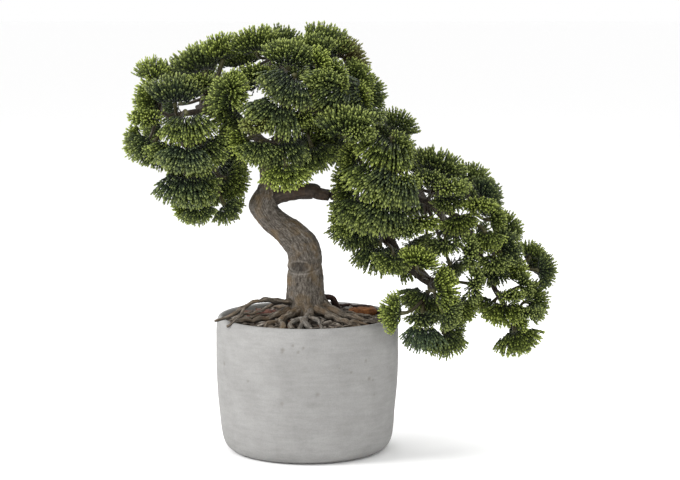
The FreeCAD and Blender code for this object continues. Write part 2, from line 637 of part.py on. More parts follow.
# Hollow cups in the fixed wood, where the three bending necks sit.
cups = []
for limbs in BODIES:
    neck = next(iter(limbs.values()))[0]
    cup = doc.addObject("Part::Sphere", "neck_cup_%d" % len(cups))
    bind(cup, "Radius", "Dims.limb_girth * %.3f + Dims.neck_clearance" % (neck[3] * NECK_SWELL))
    cup.Placement.Base = V(*neck[:3])
    cups.append(cup)

leader = subtract("leader_fitted", fixed["leader"], [trunk, cups[0], cups[1]])
leader.Label = "leader"
nodes["leader"] = leader
bough = subtract("right_bough_fitted", fixed["right_bough"], [trunk, leader, cups[2]])
bough.Label = "right_bough"
nodes["right_bough"] = bough

done = [trunk]
for name, blank in root_parts.items():
    fitted = subtract(name + "_fitted", blank, list(done))
    fitted.Label = name
    nodes[name] = fitted
    done.append(fitted)
for name, blank in chunk_parts.items():
    fitted = subtract(name + "_fitted", blank, list(done))
    fitted.Label = name
    nodes[name] = fitted
    done.append(fitted)
doc.recompute()

# Bark chips lie round the bed in a sunflower pattern; the roots are bedded into them.
CHIP_COUNT = 34
chips = []
for k in range(CHIP_COUNT):
    angle = math.radians(137.5 * k)
    radius = 22 + 38 * math.sqrt(k / CHIP_COUNT)
    chip = doc.addObject("Part::Box", "chip_%d" % k)
    bind(chip, "Length", "Dims.chip_length")
    bind(chip, "Width", "Dims.chip_width")
    bind(chip, "Height", "Dims.chip_thickness")
    chip.Placement = FreeCAD.Placement(
        V(radius * math.cos(angle), radius * math.sin(angle), 107 - 0.03 * radius),
        FreeCAD.Rotation(61 * k, 9 * math.sin(3 * k), 9 * math.cos(5 * k)),
        V(dim("chip_length") / 2, dim("chip_width") / 2, 0),
    )
    chips.append(chip)
bed = subtract("dressing_fitted", join("dressing_chips", [bed_body] + chips), done + [pot_body, rod_body])
bed.Label = "dressing"
nodes["dressing"] = bed
doc.recompute()

# Each limb keeps its full section; what branches from it is cut to its surface.
limb_parts = {}
for limbs, blanks in zip(BODIES, moving):
    names = list(limbs)
    for k, name in enumerate(names):
        tools = [limb_parts[other] for other in names[:k] if boxes_meet(limb_parts[other].Shape, blanks[name].Shape)]
        part = subtract(name + "_fitted", blanks[name], tools) if tools else blanks[name]
        part.Label = name
        limb_parts[name] = part
        nodes[name] = part
        doc.recompute()

# Sprays give way to limbs and to the stalks of other sprigs that pass through them.
for name, (limb, stalks, cushions) in sprig_parts.items():
    own = BODIES[body_of(limb)]
    whole = join(name + "_whole", [stalks, cushions])
    doc.recompute()
    tools = [limb_parts[other] for other in own if boxes_meet(limb_parts[other].Shape, whole.Shape)]
    for other, (other_limb, other_stalks, other_cushions) in sprig_parts.items():
        if other != name and body_of(other_limb) == body_of(limb):
            if other_stalks.Shape.common(cushions.Shape).Volume > 0.001:
                tools.append(other_stalks)
    part = subtract(name + "_fitted", whole, tools) if tools else whole
    part.Label = name
    nodes[name] = part
doc.recompute()

# ---------------------------------------------------------------- check and write
for thing in doc.Objects:
    if "Invalid" in thing.State or "Error" in thing.State:
        raise RuntimeError("%s is not valid: %s" % (thing.Label, thing.State))
for name, part in nodes.items():
    shape = part.Shape
    if shape.isNull() or not shape.isValid() or shape.Volume <= 0:
        raise RuntimeError("%s has no valid shape" % name)
    shape.exportStep("parts/%s.step" % name)
    print("%-24s solids %d volume %.1f" % (name, len(shape.Solids), shape.Volume))
print("nodes", len(nodes))
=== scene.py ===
import json
import math

import bpy
import numpy as np
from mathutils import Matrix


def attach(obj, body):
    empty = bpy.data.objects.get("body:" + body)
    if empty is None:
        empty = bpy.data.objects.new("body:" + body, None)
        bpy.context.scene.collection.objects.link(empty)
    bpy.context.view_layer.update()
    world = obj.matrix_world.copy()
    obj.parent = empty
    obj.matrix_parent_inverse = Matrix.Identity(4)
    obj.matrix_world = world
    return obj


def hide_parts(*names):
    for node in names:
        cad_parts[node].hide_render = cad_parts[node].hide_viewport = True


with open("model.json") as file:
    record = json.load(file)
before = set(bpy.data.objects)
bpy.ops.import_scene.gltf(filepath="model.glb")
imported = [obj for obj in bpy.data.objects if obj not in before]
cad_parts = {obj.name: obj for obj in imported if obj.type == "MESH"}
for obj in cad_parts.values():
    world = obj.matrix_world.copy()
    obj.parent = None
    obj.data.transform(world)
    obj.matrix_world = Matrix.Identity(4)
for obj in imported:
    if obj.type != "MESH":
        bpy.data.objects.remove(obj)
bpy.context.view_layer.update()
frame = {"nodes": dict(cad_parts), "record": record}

# Artificial tabletop tree in a concrete pot. Lengths are millimetres; to_object() turns them into
# metres. -Y is the front.
rng = np.random.default_rng(7)
BODIES = frame["record"]["behaviour"]["bodies"]
BODY_OF = {node: body for body, nodes in BODIES.items() for node in nodes}


def unit(v):
    v = np.asarray(v, float)
    return v / np.maximum(np.linalg.norm(v, axis=-1, keepdims=True), 1e-9)


def around(sides):
    """The angles of sides points round a circle."""
    return np.arange(sides) * 2 * math.pi / sides


def rotation(axis, angle):
    """The matrix of a turn about x (0), y (1) or z (2)."""
    i, j = ((1, 2), (2, 0), (0, 1))[axis]
    turn = np.eye(3)
    turn[i, i] = turn[j, j] = math.cos(angle)
    turn[i, j], turn[j, i] = -math.sin(angle), math.sin(angle)
    return turn


# ---------------------------------------------------------------- noise
LATTICE = rng.random((32, 32, 32))


def noise(points, size):
    """Smooth value noise from -1 to 1 at points, with bumps about size mm across."""
    p = np.asarray(points, float) / size
    cell = np.floor(p).astype(int)
    f = p - cell
    f = f * f * (3 - 2 * f)
    total = np.zeros(len(p))
    for corner in range(8):
        step = np.array([corner & 1, corner >> 1 & 1, corner >> 2 & 1])
        at = (cell + step) % 32
        weight = np.prod(np.where(step == 1, f, 1 - f), axis=1)
        total += weight * LATTICE[at[:, 0], at[:, 1], at[:, 2]]
    return total * 2 - 1


# ---------------------------------------------------------------- mesh building
def to_object(name, verts, quads, tris, layers, material, smooth=True):
    """A mesh object from vertices in mm, index arrays, and {attribute: value at each vertex}."""
    quads = np.asarray(quads, np.int32).reshape(-1, 4)
    tris = np.asarray(tris, np.int32).reshape(-1, 3)
    mesh = bpy.data.meshes.new(name)
    mesh.vertices.add(len(verts))
    mesh.vertices.foreach_set("co", (np.asarray(verts) * 0.001).astype(np.float32).ravel())
    loops = np.concatenate([quads.ravel(), tris.ravel()])
    counts = np.concatenate([np.full(len(quads), 4), np.full(len(tris), 3)]).astype(np.int32)
    mesh.loops.add(len(loops))
    mesh.loops.foreach_set("vertex_index", loops)
    mesh.polygons.add(len(counts))
    mesh.polygons.foreach_set("loop_start", (np.cumsum(counts) - counts).astype(np.int32))
    mesh.polygons.foreach_set("loop_total", counts)
    mesh.polygons.foreach_set("use_smooth", np.full(len(counts), smooth))
    mesh.update(calc_edges=True)
    for layer, values in layers.items():
        attribute = mesh.attributes.new(layer, "FLOAT", "POINT")
        attribute.data.foreach_set("value", np.asarray(values, np.float32))
    obj = bpy.data.objects.new(name, mesh)
    bpy.context.scene.collection.objects.link(obj)
    mesh.materials.append(material)
    return obj


class Heap:
    """Gathers several closed skins into one mesh."""

    def __init__(self):
        self.verts, self.quads, self.tris, self.layers, self.count = [], [], [], {}, 0

    def add(self, verts, quads, tris, **layers):
        verts = np.asarray(verts, float).reshape(-1, 3)
        self.verts.append(verts)
        self.quads.append(np.asarray(quads, np.int64).reshape(-1, 4) + self.count)
        self.tris.append(np.asarray(tris, np.int64).reshape(-1, 3) + self.count)
        for layer, values in layers.items():
            values = np.broadcast_to(np.asarray(values, float), (len(verts),))
            self.layers.setdefault(layer, []).append((self.count, values))
        self.count += len(verts)

    def build(self, name, material, smooth=True):
        layers = {layer: np.zeros(self.count) for layer in self.layers}
        for layer, parts in self.layers.items():
            for start, values in parts:
                layers[layer][start:start + len(values)] = values
        return to_object(
            name,
            np.concatenate(self.verts),
            np.concatenate(self.quads),
            np.concatenate(self.tris),
            layers,
            material,
            smooth,
        )


def skin(rings, sides):
    """Index arrays for a closed skin of rings x sides vertices, then a start and an end point."""
    r, s = np.meshgrid(np.arange(rings - 1), np.arange(sides), indexing="ij")
    a = (r * sides + s).ravel()
    b = (r * sides + (s + 1) % sides).ravel()
    quads = np.stack([a, b, b + sides, a + sides], axis=1)
    k = np.arange(sides)
    first, last = rings * sides, rings * sides + 1
    top = (rings - 1) * sides
    start = np.stack([np.full(sides, first), (k + 1) % sides, k], axis=1)
    end = np.stack([np.full(sides, last), top + k, top + (k + 1) % sides], axis=1)
    return quads, np.concatenate([start, end])


def capped(rows, start=0.0, end=0.0):
    """The value at each ring vertex, then those of the start and end points of skin()."""
    return np.concatenate([rows, [start, end]])


def smooth_path(points, spacing):
    """Points (x, y, z, extra...) resampled on a smooth curve through them, spacing mm apart."""
    p = np.asarray(points, float)
    ext = np.vstack([2 * p[0] - p[1], p, 2 * p[-1] - p[-2]])
    out = []
    for k in range(1, len(ext) - 2):
        a, b, c, d = ext[k - 1:k + 3]
        n = max(2, int(np.linalg.norm(c[:3] - b[:3]) / spacing))
        for t in np.arange(n) / n:
            out.append(0.5 * (2 * b + (c - a) * t + (2 * a - 5 * b + 4 * c - d) * t * t
                              + (3 * b - a - 3 * c + d) * t ** 3))
    out.append(p[-1])
    return np.array(out)


def path_frames(centres):
    """Tangent and two side directions at each point, carried along without twisting."""
    tangent = unit(np.gradient(centres, axis=0))
    side = np.zeros_like(tangent)
    first = np.array([0.0, -1.0, 0.0])
    if abs(tangent[0] @ first) > 0.9:
        first = np.array([1.0, 0.0, 0.0])
    for k, t in enumerate(tangent):
        first = unit(first - t * (first @ t))
        side[k] = first
    return tangent, side, np.cross(tangent, side)


def tube(heap, points, sides, step, rough, grain, seed=0.0, under=0.0, **layers):
    """A knobbly round bar through points (x, y, z, radius).

    rough is the height of its bumps, grain their size, and under how dark the painted shade on its
    lower side is.
    """
    path = smooth_path(points, step)
    centres, radii = path[:, :3], path[:, 3]
    tangent, u, v = path_frames(centres)
    angle = around(sides)
    out = (u[:, None] * np.cos(angle)[None, :, None]
           + v[:, None] * np.sin(angle)[None, :, None])
    verts = centres[:, None] + out * radii[:, None, None]
    even = verts.reshape(-1, 3)
    relief = noise(even + seed, grain) * 0.6 + noise(even + seed + 40, grain * 2.6)
    verts = verts + out * (rough * relief.reshape(len(path), sides))[:, :, None]
    quads, tris = skin(len(path), sides)
    ends = np.vstack([centres[0] - tangent[0] * radii[0] * 0.4,
                      centres[-1] + tangent[-1] * radii[-1] * 0.5])
    run = np.repeat(np.linspace(0, 1, len(path)), sides)
    # Painted shade: the lower side of the bar is darkened, by as much as under says.
    painted_underside_shade = under * np.clip(0.25 - 0.95 * out[:, :, 2].ravel(), 0, 1)
    girth = float(radii.mean())
    heap.add(np.vstack([verts.reshape(-1, 3), ends]), quads, tris,
             along=capped(run, 0, 1), crease=capped(painted_underside_shade),
             fibre_x=capped(np.tile(np.cos(angle) * girth, len(path))) + seed,
             fibre_y=capped(np.tile(np.sin(angle) * girth, len(path))),
             fibre_run=capped(run, 0, 1) * len(path) * step, **layers)


# ---------------------------------------------------------------- materials
def material(name, roughness, specular=0.4):
    made = bpy.data.materials.new(name)
    made.use_nodes = True
    shader = made.node_tree.nodes["Principled BSDF"]
    shader.inputs["Roughness"].default_value = roughness
    shader.inputs["Specular IOR Level"].default_value = specular
    return made, made.node_tree, shader


def node(tree, kind, inputs=(), **settings):
    made = tree.nodes.new(kind)
    for key, value in settings.items():
        setattr(made, key, value)
    for key, value in dict(inputs).items():
        if isinstance(value, bpy.types.NodeSocket):
            tree.links.new(value, made.inputs[key])
        else:
            made.inputs[key].default_value = value
    return made


def place(tree, stretch=(1, 1, 1)):
    """Object coordinates in millimetres, stretched."""
    where = node(tree, "ShaderNodeTexCoord").outputs["Object"]
    scale = tuple(1000 * s for s in stretch)
    return node(tree, "ShaderNodeMapping", {"Vector": where, "Scale": scale}).outputs["Vector"]


def fibre_place(tree, stretch):
    """Coordinates that run along each piece of wood, from the values its mesh carries."""
    names = {"X": "fibre_x", "Y": "fibre_y", "Z": "fibre_run"}
    parts = {axis: attribute(tree, name) for axis, name in names.items()}
    where = node(tree, "ShaderNodeCombineXYZ", parts).outputs["Vector"]
    inputs = {"Vector": where, "Scale": (1, 1, stretch)}
    return node(tree, "ShaderNodeMapping", inputs).outputs["Vector"]


def grain_at(tree, vector, size, detail=4, rough=0.6):
    return node(tree, "ShaderNodeTexNoise", {
        "Vector": vector, "Scale": 1 / size, "Detail": detail, "Roughness": rough,
    }).outputs["Fac"]


def ramp(tree, factor, stops):
    made = node(tree, "ShaderNodeValToRGB", {"Fac": factor})
    band = made.color_ramp
    while len(band.elements) < len(stops):
        band.elements.new(0.5)
    for element, (position, colour) in zip(band.elements, stops):
        element.position = position
        element.color = (*colour, 1)
    return made.outputs["Color"]


def mix(tree, factor, a, b, how="MIX"):
    made = node(tree, "ShaderNodeMix", data_type="RGBA", blend_type=how)
    for socket, value in ((made.inputs[0], factor), (made.inputs[6], a), (made.inputs[7], b)):
        if isinstance(value, bpy.types.NodeSocket):
            tree.links.new(value, socket)
        elif isinstance(value, tuple):
            socket.default_value = (*value, 1)
        else:
            socket.default_value = value
    return made.outputs[2]


def times(tree, a, b):
    return mix(tree, 1.0, a, b, "MULTIPLY")


def attribute(tree, name):
    return node(tree, "ShaderNodeAttribute", attribute_name=name).outputs["Fac"]


def spread(tree, value, low=0.0, high=1.0, to_low=0.0, to_high=1.0):
    """The value moved from one range to another, and kept inside it."""
    return node(tree, "ShaderNodeMapRange", {
        "Value": value, "From Min": low, "From Max": high, "To Min": to_low, "To Max": to_high,
    }).outputs["Result"]


def bump(tree, shader, height, depth_mm):
    made = node(tree, "ShaderNodeBump", {
        "Height": height, "Distance": depth_mm * 0.001, "Strength": 1.0,
    })
    tree.links.new(made.outputs["Normal"], shader.inputs["Normal"])


def grey(level):
    return (level, level, level)


def colour(tree, shader, socket):
    tree.links.new(socket, shader.inputs["Base Color"])


def concrete():
    made, tree, shader = material("concrete", 0.82, 0.3)
    where = place(tree)
    band = place(tree, (0.18, 0.18, 1.0))
    cloud = grain_at(tree, where, 26, 3)
    base = ramp(tree, cloud, [(0.3, (0.262, 0.258, 0.25)), (0.7, (0.32, 0.316, 0.307))])
    streak = ramp(tree, grain_at(tree, band, 3.2, 4), [(0.35, grey(0.9)), (0.62, grey(1))])
    fine = ramp(tree, grain_at(tree, where, 1.1, 5), [(0.3, grey(0.88)), (0.6, grey(1))])
    toned = times(tree, times(tree, base, streak), fine)
    # Painted shade: the colour is darkened in the air pits.
    pits = spread(tree, attribute(tree, "pit"), 0.1, 0.9)
    colour(tree, shader, mix(tree, pits, toned, (0.2, 0.19, 0.175)))
    bump(tree, shader, grain_at(tree, where, 1.6, 6), 0.22)
    return made


def bark(name, dark, mid, pale, ochre, stretch, size, depth, ochre_low=0.46):
    """Moulded bark: long fibres in three tones, with ochre paint rubbed into patches.

    stretch is how long the fibres are drawn (less is longer), size their width, and depth their
    relief in mm. More of the bark is ochre where ochre_low is small.
    """
    made, tree, shader = material(name, 0.72, 0.3)
    fibres = grain_at(tree, fibre_place(tree, stretch), size, 6, 0.65)
    broad = grain_at(tree, fibre_place(tree, stretch * 1.6), size * 4, 3, 0.6)
    tone = ramp(tree, fibres, [(0.32, dark), (0.5, mid), (0.7, pale)])
    tone = times(tree, tone, ramp(tree, broad, [(0.3, (0.72, 0.7, 0.68)), (0.65, grey(1.1))]))
    speck = ramp(tree, grain_at(tree, place(tree), 1.7, 6, 0.7),
                 [(0.36, (0.5, 0.48, 0.46)), (0.56, grey(1.05))])
    tone = times(tree, tone, speck)
    patch = ramp(tree, grain_at(tree, place(tree), 12, 4),
                 [(ochre_low, grey(0)), (ochre_low + 0.2, grey(1))])
    toned = mix(tree, patch, tone, mix(tree, 0.5, tone, ochre))
    line = spread(tree, attribute(tree, "scar"))
    shade = spread(tree, attribute(tree, "crease"))
    # Where the scar layer is set, the colour is drawn paler than the palest tone.
    toned = mix(tree, line, toned, tuple(min(1, 1.35 * c) for c in pale))
    # Painted shade: in the trunk's recesses and under the roots the colour is darkened towards the
    # darkest tone.
    colour(tree, shader, mix(tree, shade, toned, tuple(0.45 * c for c in dark)))
    bump(tree, shader, fibres, depth)
    return made


def foliage():
    """Two-tone soft plastic, bluish in the heart of a spray and yellow-green at the tips, with
    painted shade darkening the heart nearly to black.
    """
    made, tree, shader = material("spray_plastic", 0.5, 0.4)
    run = attribute(tree, "along")
    tint = attribute(tree, "tint")
    strand = attribute(tree, "strand")
    blotch = grain_at(tree, place(tree), 6.0, 2)
    reach = node(tree, "ShaderNodeMath", {0: run, 1: spread(tree, strand, 0, 1, -0.12, 0.12)},
                 operation="ADD").outputs[0]
    reach = node(tree, "ShaderNodeMath", {0: reach, 1: spread(tree, blotch, 0.3, 0.7, -0.1, 0.1)},
                 operation="ADD").outputs[0]
    # Both ramps run from near black, painted shade deep in the spray, to the plastic's own colour
    # at the tips.
    deep = ramp(tree, reach, [(0.15, (0.014, 0.022, 0.015)), (0.5, (0.029, 0.045, 0.023)),
                              (0.78, (0.062, 0.083, 0.023)), (1.0, (0.15, 0.18, 0.05))])
    lively = ramp(tree, reach, [(0.1, (0.018, 0.027, 0.008)), (0.4, (0.05, 0.07, 0.009)),
                                (0.72, (0.114, 0.148, 0.018)), (1.0, (0.245, 0.295, 0.06))])
    toned = mix(tree, tint, deep, lively)
    # Painted shade and highlight: each scale is darker where it tucks under the one before it,
    # lightest at its end.
    painted_scale_shade_and_highlight = ramp(tree, attribute(tree, "scale"),
                 [(0.0, (0.3, 0.33, 0.34)), (0.5, grey(0.9)), (1.0, (1.36, 1.34, 1.2))])
    toned = times(tree, toned, painted_scale_shade_and_highlight)
    rust = spread(tree, attribute(tree, "rust"))
    toned = mix(tree, rust, toned, (0.09, 0.045, 0.018))
    blue = spread(tree, attribute(tree, "blue"))
    colour(tree, shader, mix(tree, blue, toned, (0.075, 0.13, 0.115)))
    return made


def wood_twig():
    made, tree, shader = material("twig_wrap", 0.75, 0.3)
    fibres = grain_at(tree, place(tree, (1, 1, 0.5)), 1.6, 4)
    colour(tree, shader, ramp(tree, fibres, [(0.35, (0.018, 0.014, 0.010)),
                                             (0.7, (0.062, 0.047, 0.032))]))
    bump(tree, shader, fibres, 0.3)
    return made


def chips_material():
    """Dry bark chips, each with its own tone."""
    made, tree, shader = material("bark_chips", 0.85, 0.25)
    tone = ramp(tree, attribute(tree, "tone"), [
        (0.0, (0.03, 0.023, 0.018)), (0.35, (0.1, 0.08, 0.062)), (0.65, (0.235, 0.2, 0.162)),
        (0.88, (0.36, 0.325, 0.285)), (1.0, (0.12, 0.05, 0.03))])
    fibres = ramp(tree, grain_at(tree, place(tree), 1.2, 5), [(0.3, grey(0.6)), (0.65, grey(1))])
    colour(tree, shader, times(tree, tone, fibres))
    bump(tree, shader, grain_at(tree, place(tree), 0.9, 4), 0.3)
    return made


def plain(name, shade, roughness, metal=0.0):
    """One even colour with faint lines, for the rod and the filler that hide inside."""
    made, tree, shader = material(name, roughness)
    shader.inputs["Metallic"].default_value = metal
    lines = grain_at(tree, place(tree, (1, 1, 0.2)), 1.0, 3)
    dull = tuple(0.8 * c for c in shade)
    colour(tree, shader, ramp(tree, lines, [(0.3, dull), (0.7, shade)]))
    bump(tree, shader, lines, 0.05)
    return made


M_POT = concrete()
M_TRUNK = bark("trunk_bark", (0.028, 0.022, 0.017), (0.128, 0.11, 0.09), (0.275, 0.253, 0.222),
               (0.17, 0.105, 0.036), 0.26, 1.0, 0.6, 0.47)
M_BOUGH = bark("bough_bark", (0.014, 0.011, 0.009), (0.036, 0.028, 0.022), (0.085, 0.068, 0.052),
               (0.075, 0.04, 0.018), 0.2, 2.0, 0.5)
M_ROOT = bark("root_bark", (0.022, 0.017, 0.013), (0.118, 0.097, 0.074), (0.33, 0.292, 0.24),
              (0.17, 0.105, 0.05), 0.16, 1.1, 0.5)
M_GREY = bark("root_grey_bark", (0.03, 0.026, 0.022), (0.14, 0.126, 0.11), (0.32, 0.3, 0.27),
              (0.16, 0.12, 0.08), 0.16, 1.1, 0.5)
M_KNEE = bark("root_knee_bark", (0.012, 0.007, 0.006), (0.035, 0.018, 0.015), (0.07, 0.034, 0.028),
              (0.06, 0.025, 0.015), 0.2, 1.6, 0.3)
M_ORANGE = bark("orange_bark", (0.07, 0.022, 0.006), (0.2, 0.07, 0.018), (0.34, 0.15, 0.05),
                (0.3, 0.12, 0.03), 0.25, 2.0, 0.4)
M_RED = bark("red_bark", (0.035, 0.012, 0.009), (0.1, 0.032, 0.022), (0.17, 0.075, 0.055),
             (0.14, 0.05, 0.025), 0.25, 2.0, 0.4)
M_SPRAY = foliage()
M_TWIG = wood_twig()
M_CHIPS = chips_material()


def claim(obj, cad):
    """The piece rides with its CAD node's body and stands in for the node, which is hidden."""
    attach(obj, BODY_OF[cad])
    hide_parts(cad)


# ---------------------------------------------------------------- pot
POT_R, POT_H = 75.5, 112.0
FILLER_TOP = 96.5
PITS = 74
PIT_DEPTH = 0.5
# Radius and height up the outside, over the lip and down inside to the filler.
POT_OUTLINE = [
    (30, 0.4), (52, 0.2), (60, 0.3), (64.5, 1.6), (68, 5), (70.4, 10.5), (71.8, 19), (73, 32),
    (74.2, 46), (75, 60), (75.4, 76), (75.5, 92), (75.3, 103), (74.8, 108.6), (73.4, 111.4),
    (71.6, 112), (70.2, 111), (69.9, 108), (69.9, 100), (69.8, 97), (66, 96.6), (30, FILLER_TOP),
]


def make_pot():
    line = smooth_path([(r, 0, z) for r, z in POT_OUTLINE], 1.0)
    sides = 480
    angle = around(sides)
    x = line[:, None, 0] * np.cos(angle)
    y = line[:, None, 0] * np.sin(angle)
    z = np.broadcast_to(line[:, None, 2], x.shape)
    verts = np.stack([x, y, z], axis=-1).reshape(-1, 3)
    out = unit(verts * [1, 1, 0])
    wall = np.clip((verts[:, 2] - 1) / 8, 0, 1)
    # Hand-cast unevenness, then air pits.
    verts += out * (wall * (0.28 * noise(verts, 34) + 0.14 * noise(verts, 11)))[:, None]
    pit = np.zeros(len(verts))
    for _ in range(PITS):
        a, h = rng.uniform(0, 2 * math.pi), rng.uniform(14, 106)
        size = rng.choice([0.55, 0.8, 1.2], p=[0.5, 0.35, 0.15])
        middle = np.array([POT_R * math.cos(a), POT_R * math.sin(a), h])
        near = np.linalg.norm(verts - middle, axis=1)
        pit = np.maximum(pit, np.exp(-(near / size) ** 2 * 0.5) * (near < 5))
    verts -= out * (PIT_DEPTH * pit)[:, None]
    quads, tris = skin(len(line), sides)
    ends = np.array([[0, 0, 0.6], [0, 0, FILLER_TOP]])
    heap = Heap()
    heap.add(np.vstack([verts, ends]), quads, tris, pit=capped(pit))
    pot = heap.build("concrete_pot", M_POT)
    claim(pot, "pot")


# ---------------------------------------------------------------- trunk
# Sections up the S curve: x, height, radius, lean of the section in degrees.
TRUNK = [
    (1, 99, 21, 0),
    (1, 108, 19.5, 0),
    (0, 116, 17.3, 0),
    (-1, 128, 15.9, 0),
    (-1.2, 142, 14.9, 0),
    (-1.2, 152, 13.8, 0),
    (-1.4, 161, 13.9, -8),
    (-4.5, 170, 13.4, -28),
    (-12, 178, 12.5, -50),
    (-21, 185, 11, -54),
    (-30, 193, 10.5, -48),
    (-36, 203, 11, -12),
    (-34.5, 211, 9.4, 6),
    (-34, 217, 6.4, 0),
    (-34, 220, 5.2, 0),
]
TRUNK_STEP = 0.8
# Where each root pulls the foot out: angle round the trunk in radians, and how far.
FLARE = [(-2.45, 3.4), (-1.95, 2.6), (-1.45, 3.6), (-0.9, 3.4), (-0.25, 3.2), (0.9, 2), (2.0, 2.6),
         (2.75, 2.4)]
# The hollows between the front roots: angle and half width in radians.
HOLLOWS = [(4.45, 0.16), (5.1, 0.15)]
HOLLOW_DEPTH = 2.2
# The scar's middle (x, height) and its half width and half height.
KNOT = (-6.0, 153.4)
KNOT_SIZE = (8.2, 4.6)


def mound(verts, middle, size):
    """1 at the middle, falling smoothly to 0 over size along x, y and z."""
    return np.exp(-np.linalg.norm((verts - middle) / size, axis=1) ** 2)


def make_trunk():
    path = smooth_path(TRUNK, TRUNK_STEP)
    lean = np.radians(path[:, 3])
    sides = 144
    angle = around(sides)
    ca, sa = np.cos(angle), np.sin(angle)
    r = path[:, 2][:, None]
    # Roots pull the foot of the trunk out into buttresses.
    low = np.clip((130 - path[:, 1]) / 26, 0, 1)[:, None] ** 1.6
    flare = sum(h * np.exp(-(((angle - a + math.pi) % (2 * math.pi) - math.pi) / 0.24) ** 2)
                for a, h in FLARE)
    hollow = sum(np.exp(-((angle - a) / w) ** 2) for a, w in HOLLOWS)
    swell = r + low * (flare - HOLLOW_DEPTH * hollow)[None, :]
    flute = (0.5 * np.sin(5 * angle[None] + path[:, 1][:, None] * 0.03)
             + 0.3 * np.sin(9 * angle[None] + 1.3))
    swell = swell + flute * np.clip((path[:, 1][:, None] - 98) / 30, 0.4, 1)
    x = path[:, 0][:, None] + swell * ca * np.cos(lean)[:, None]
    z = path[:, 1][:, None] - swell * ca * np.sin(lean)[:, None]
    y = swell * sa * 0.94
    verts = np.stack([x, y, z], axis=-1).reshape(-1, 3)
    centre = np.stack([path[:, 0], 0 * path[:, 0], path[:, 1]], axis=-1)
    out = unit(verts - np.repeat(centre, sides, axis=0))
    # Fibres run along the trunk, so the relief is stretched along it.
    run = np.repeat(np.arange(len(path)) * TRUNK_STEP, sides)
    turn = np.stack([np.tile(ca * 14, len(path)), np.tile(sa * 14, len(path)), run * 0.12], axis=-1)
    relief = (0.34 * noise(turn, 1.1) + 0.5 * noise(turn + 9, 3.4) + 0.6 * noise(verts, 9)
              + 0.26 * noise(verts + 5, 2.2))
    # The scar: a sunken oval with a raised rim, and a groove all round under it.
    side = verts[:, 0] - KNOT[0]
    up = verts[:, 2] - KNOT[1]
    front = verts[:, 1] < 0
    oval = np.hypot(side / KNOT_SIZE[0], up / KNOT_SIZE[1]) + 0.1 * noise(verts + 21, 4)
    rim = np.exp(-((oval - 1) / 0.18) ** 2) * front
    bowl = np.clip(1 - oval, 0, 1) * front
    drop = up + 6.2 - 3.4 * (side / 15) ** 2
    scar = np.exp(-(drop / 0.6) ** 2) * np.exp(-(side / 11) ** 2)
    crease = np.exp(-((drop - 1.6) / 0.6) ** 2) * 0.7
    relief += 1.0 * rim - 1.6 * bowl + 0.3 * scar - 0.6 * crease
    # A small callus in the crook of the elbow, and a fold below it, which also gets painted shade.
    fold = mound(verts, [-23.5, -5, 202], [2.2, 5, 1.5])
    relief += 2.0 * mound(verts, [-25.5, -4, 205.5], [3.2, 5, 3.4]) - 1.2 * fold
    # The elbow's outer side is a blunt knob.
    relief += 1.2 * mound(verts, [-44, -2, 205], [7, 9, 7])
    # Painted shade, darkening the groove, the fold, the floor of the scar and the hollows between
    # the roots.
    crease = np.maximum(crease * 0.6, fold)
    floor = np.clip((1.02 - oval) / 0.2, 0, 1) * (0.5 + 0.35 * noise(verts + 3, 2.4)) * front
    crease = np.maximum(crease, floor)
    hole = np.repeat(low[:, 0], sides) * np.tile(hollow, len(path))
    crease = np.maximum(crease, np.clip(hole * 1.3, 0, 1))
    verts = verts + out * relief[:, None]
    quads, tris = skin(len(path), sides)
    ends = np.vstack([centre[0], centre[-1] + [0, 0, 1]])
    heap = Heap()
    # The rim of the scar and the line under its groove are drawn paler, in patches, except where
    # painted shade lies.
    fade = 0.45 + 0.3 * noise(verts, 5)
    paler_rim_and_line = np.maximum(fade * scar, 0.5 * fade * rim) * (1 - crease) * front
    heap.add(np.vstack([verts, ends]), quads, tris, scar=capped(paler_rim_and_line), crease=capped(crease),
             fibre_x=capped(np.tile(ca * 13, len(path))),
             fibre_y=capped(np.tile(sa * 13, len(path))), fibre_run=capped(run, 0, 99))
    claim(heap.build("bark_trunk", M_TRUNK), "trunk")


def gnarled(points, wander, seed):
    """The same run with small kinks and swellings along it."""
    path = smooth_path(points, 2.2)
    for axis in range(3):
        path[1:-1, axis] += wander * noise(path[1:-1, :3] + seed + 13 * axis, 6)
    path[:, 3] *= 1 + 0.28 * noise(path[:, :3] + seed + 51, 5)
    return path


def wood(name, runs, mat, cad, rough=0.5, grain=3.0, sides=24, step=0.8, wander=0.0):
    """Bars of wood as one object. Those that wander are roots, with painted shade on their
    undersides.
    """
    heap = Heap()
    for k, points in enumerate(runs):
        seed = 17.0 * k + len(name)
        if wander:
            points = gnarled(points, wander, seed)
        tube(heap, points, sides, step, rough, grain, seed, under=float(wander > 0), scar=0)
    claim(heap.build(name, mat), cad)


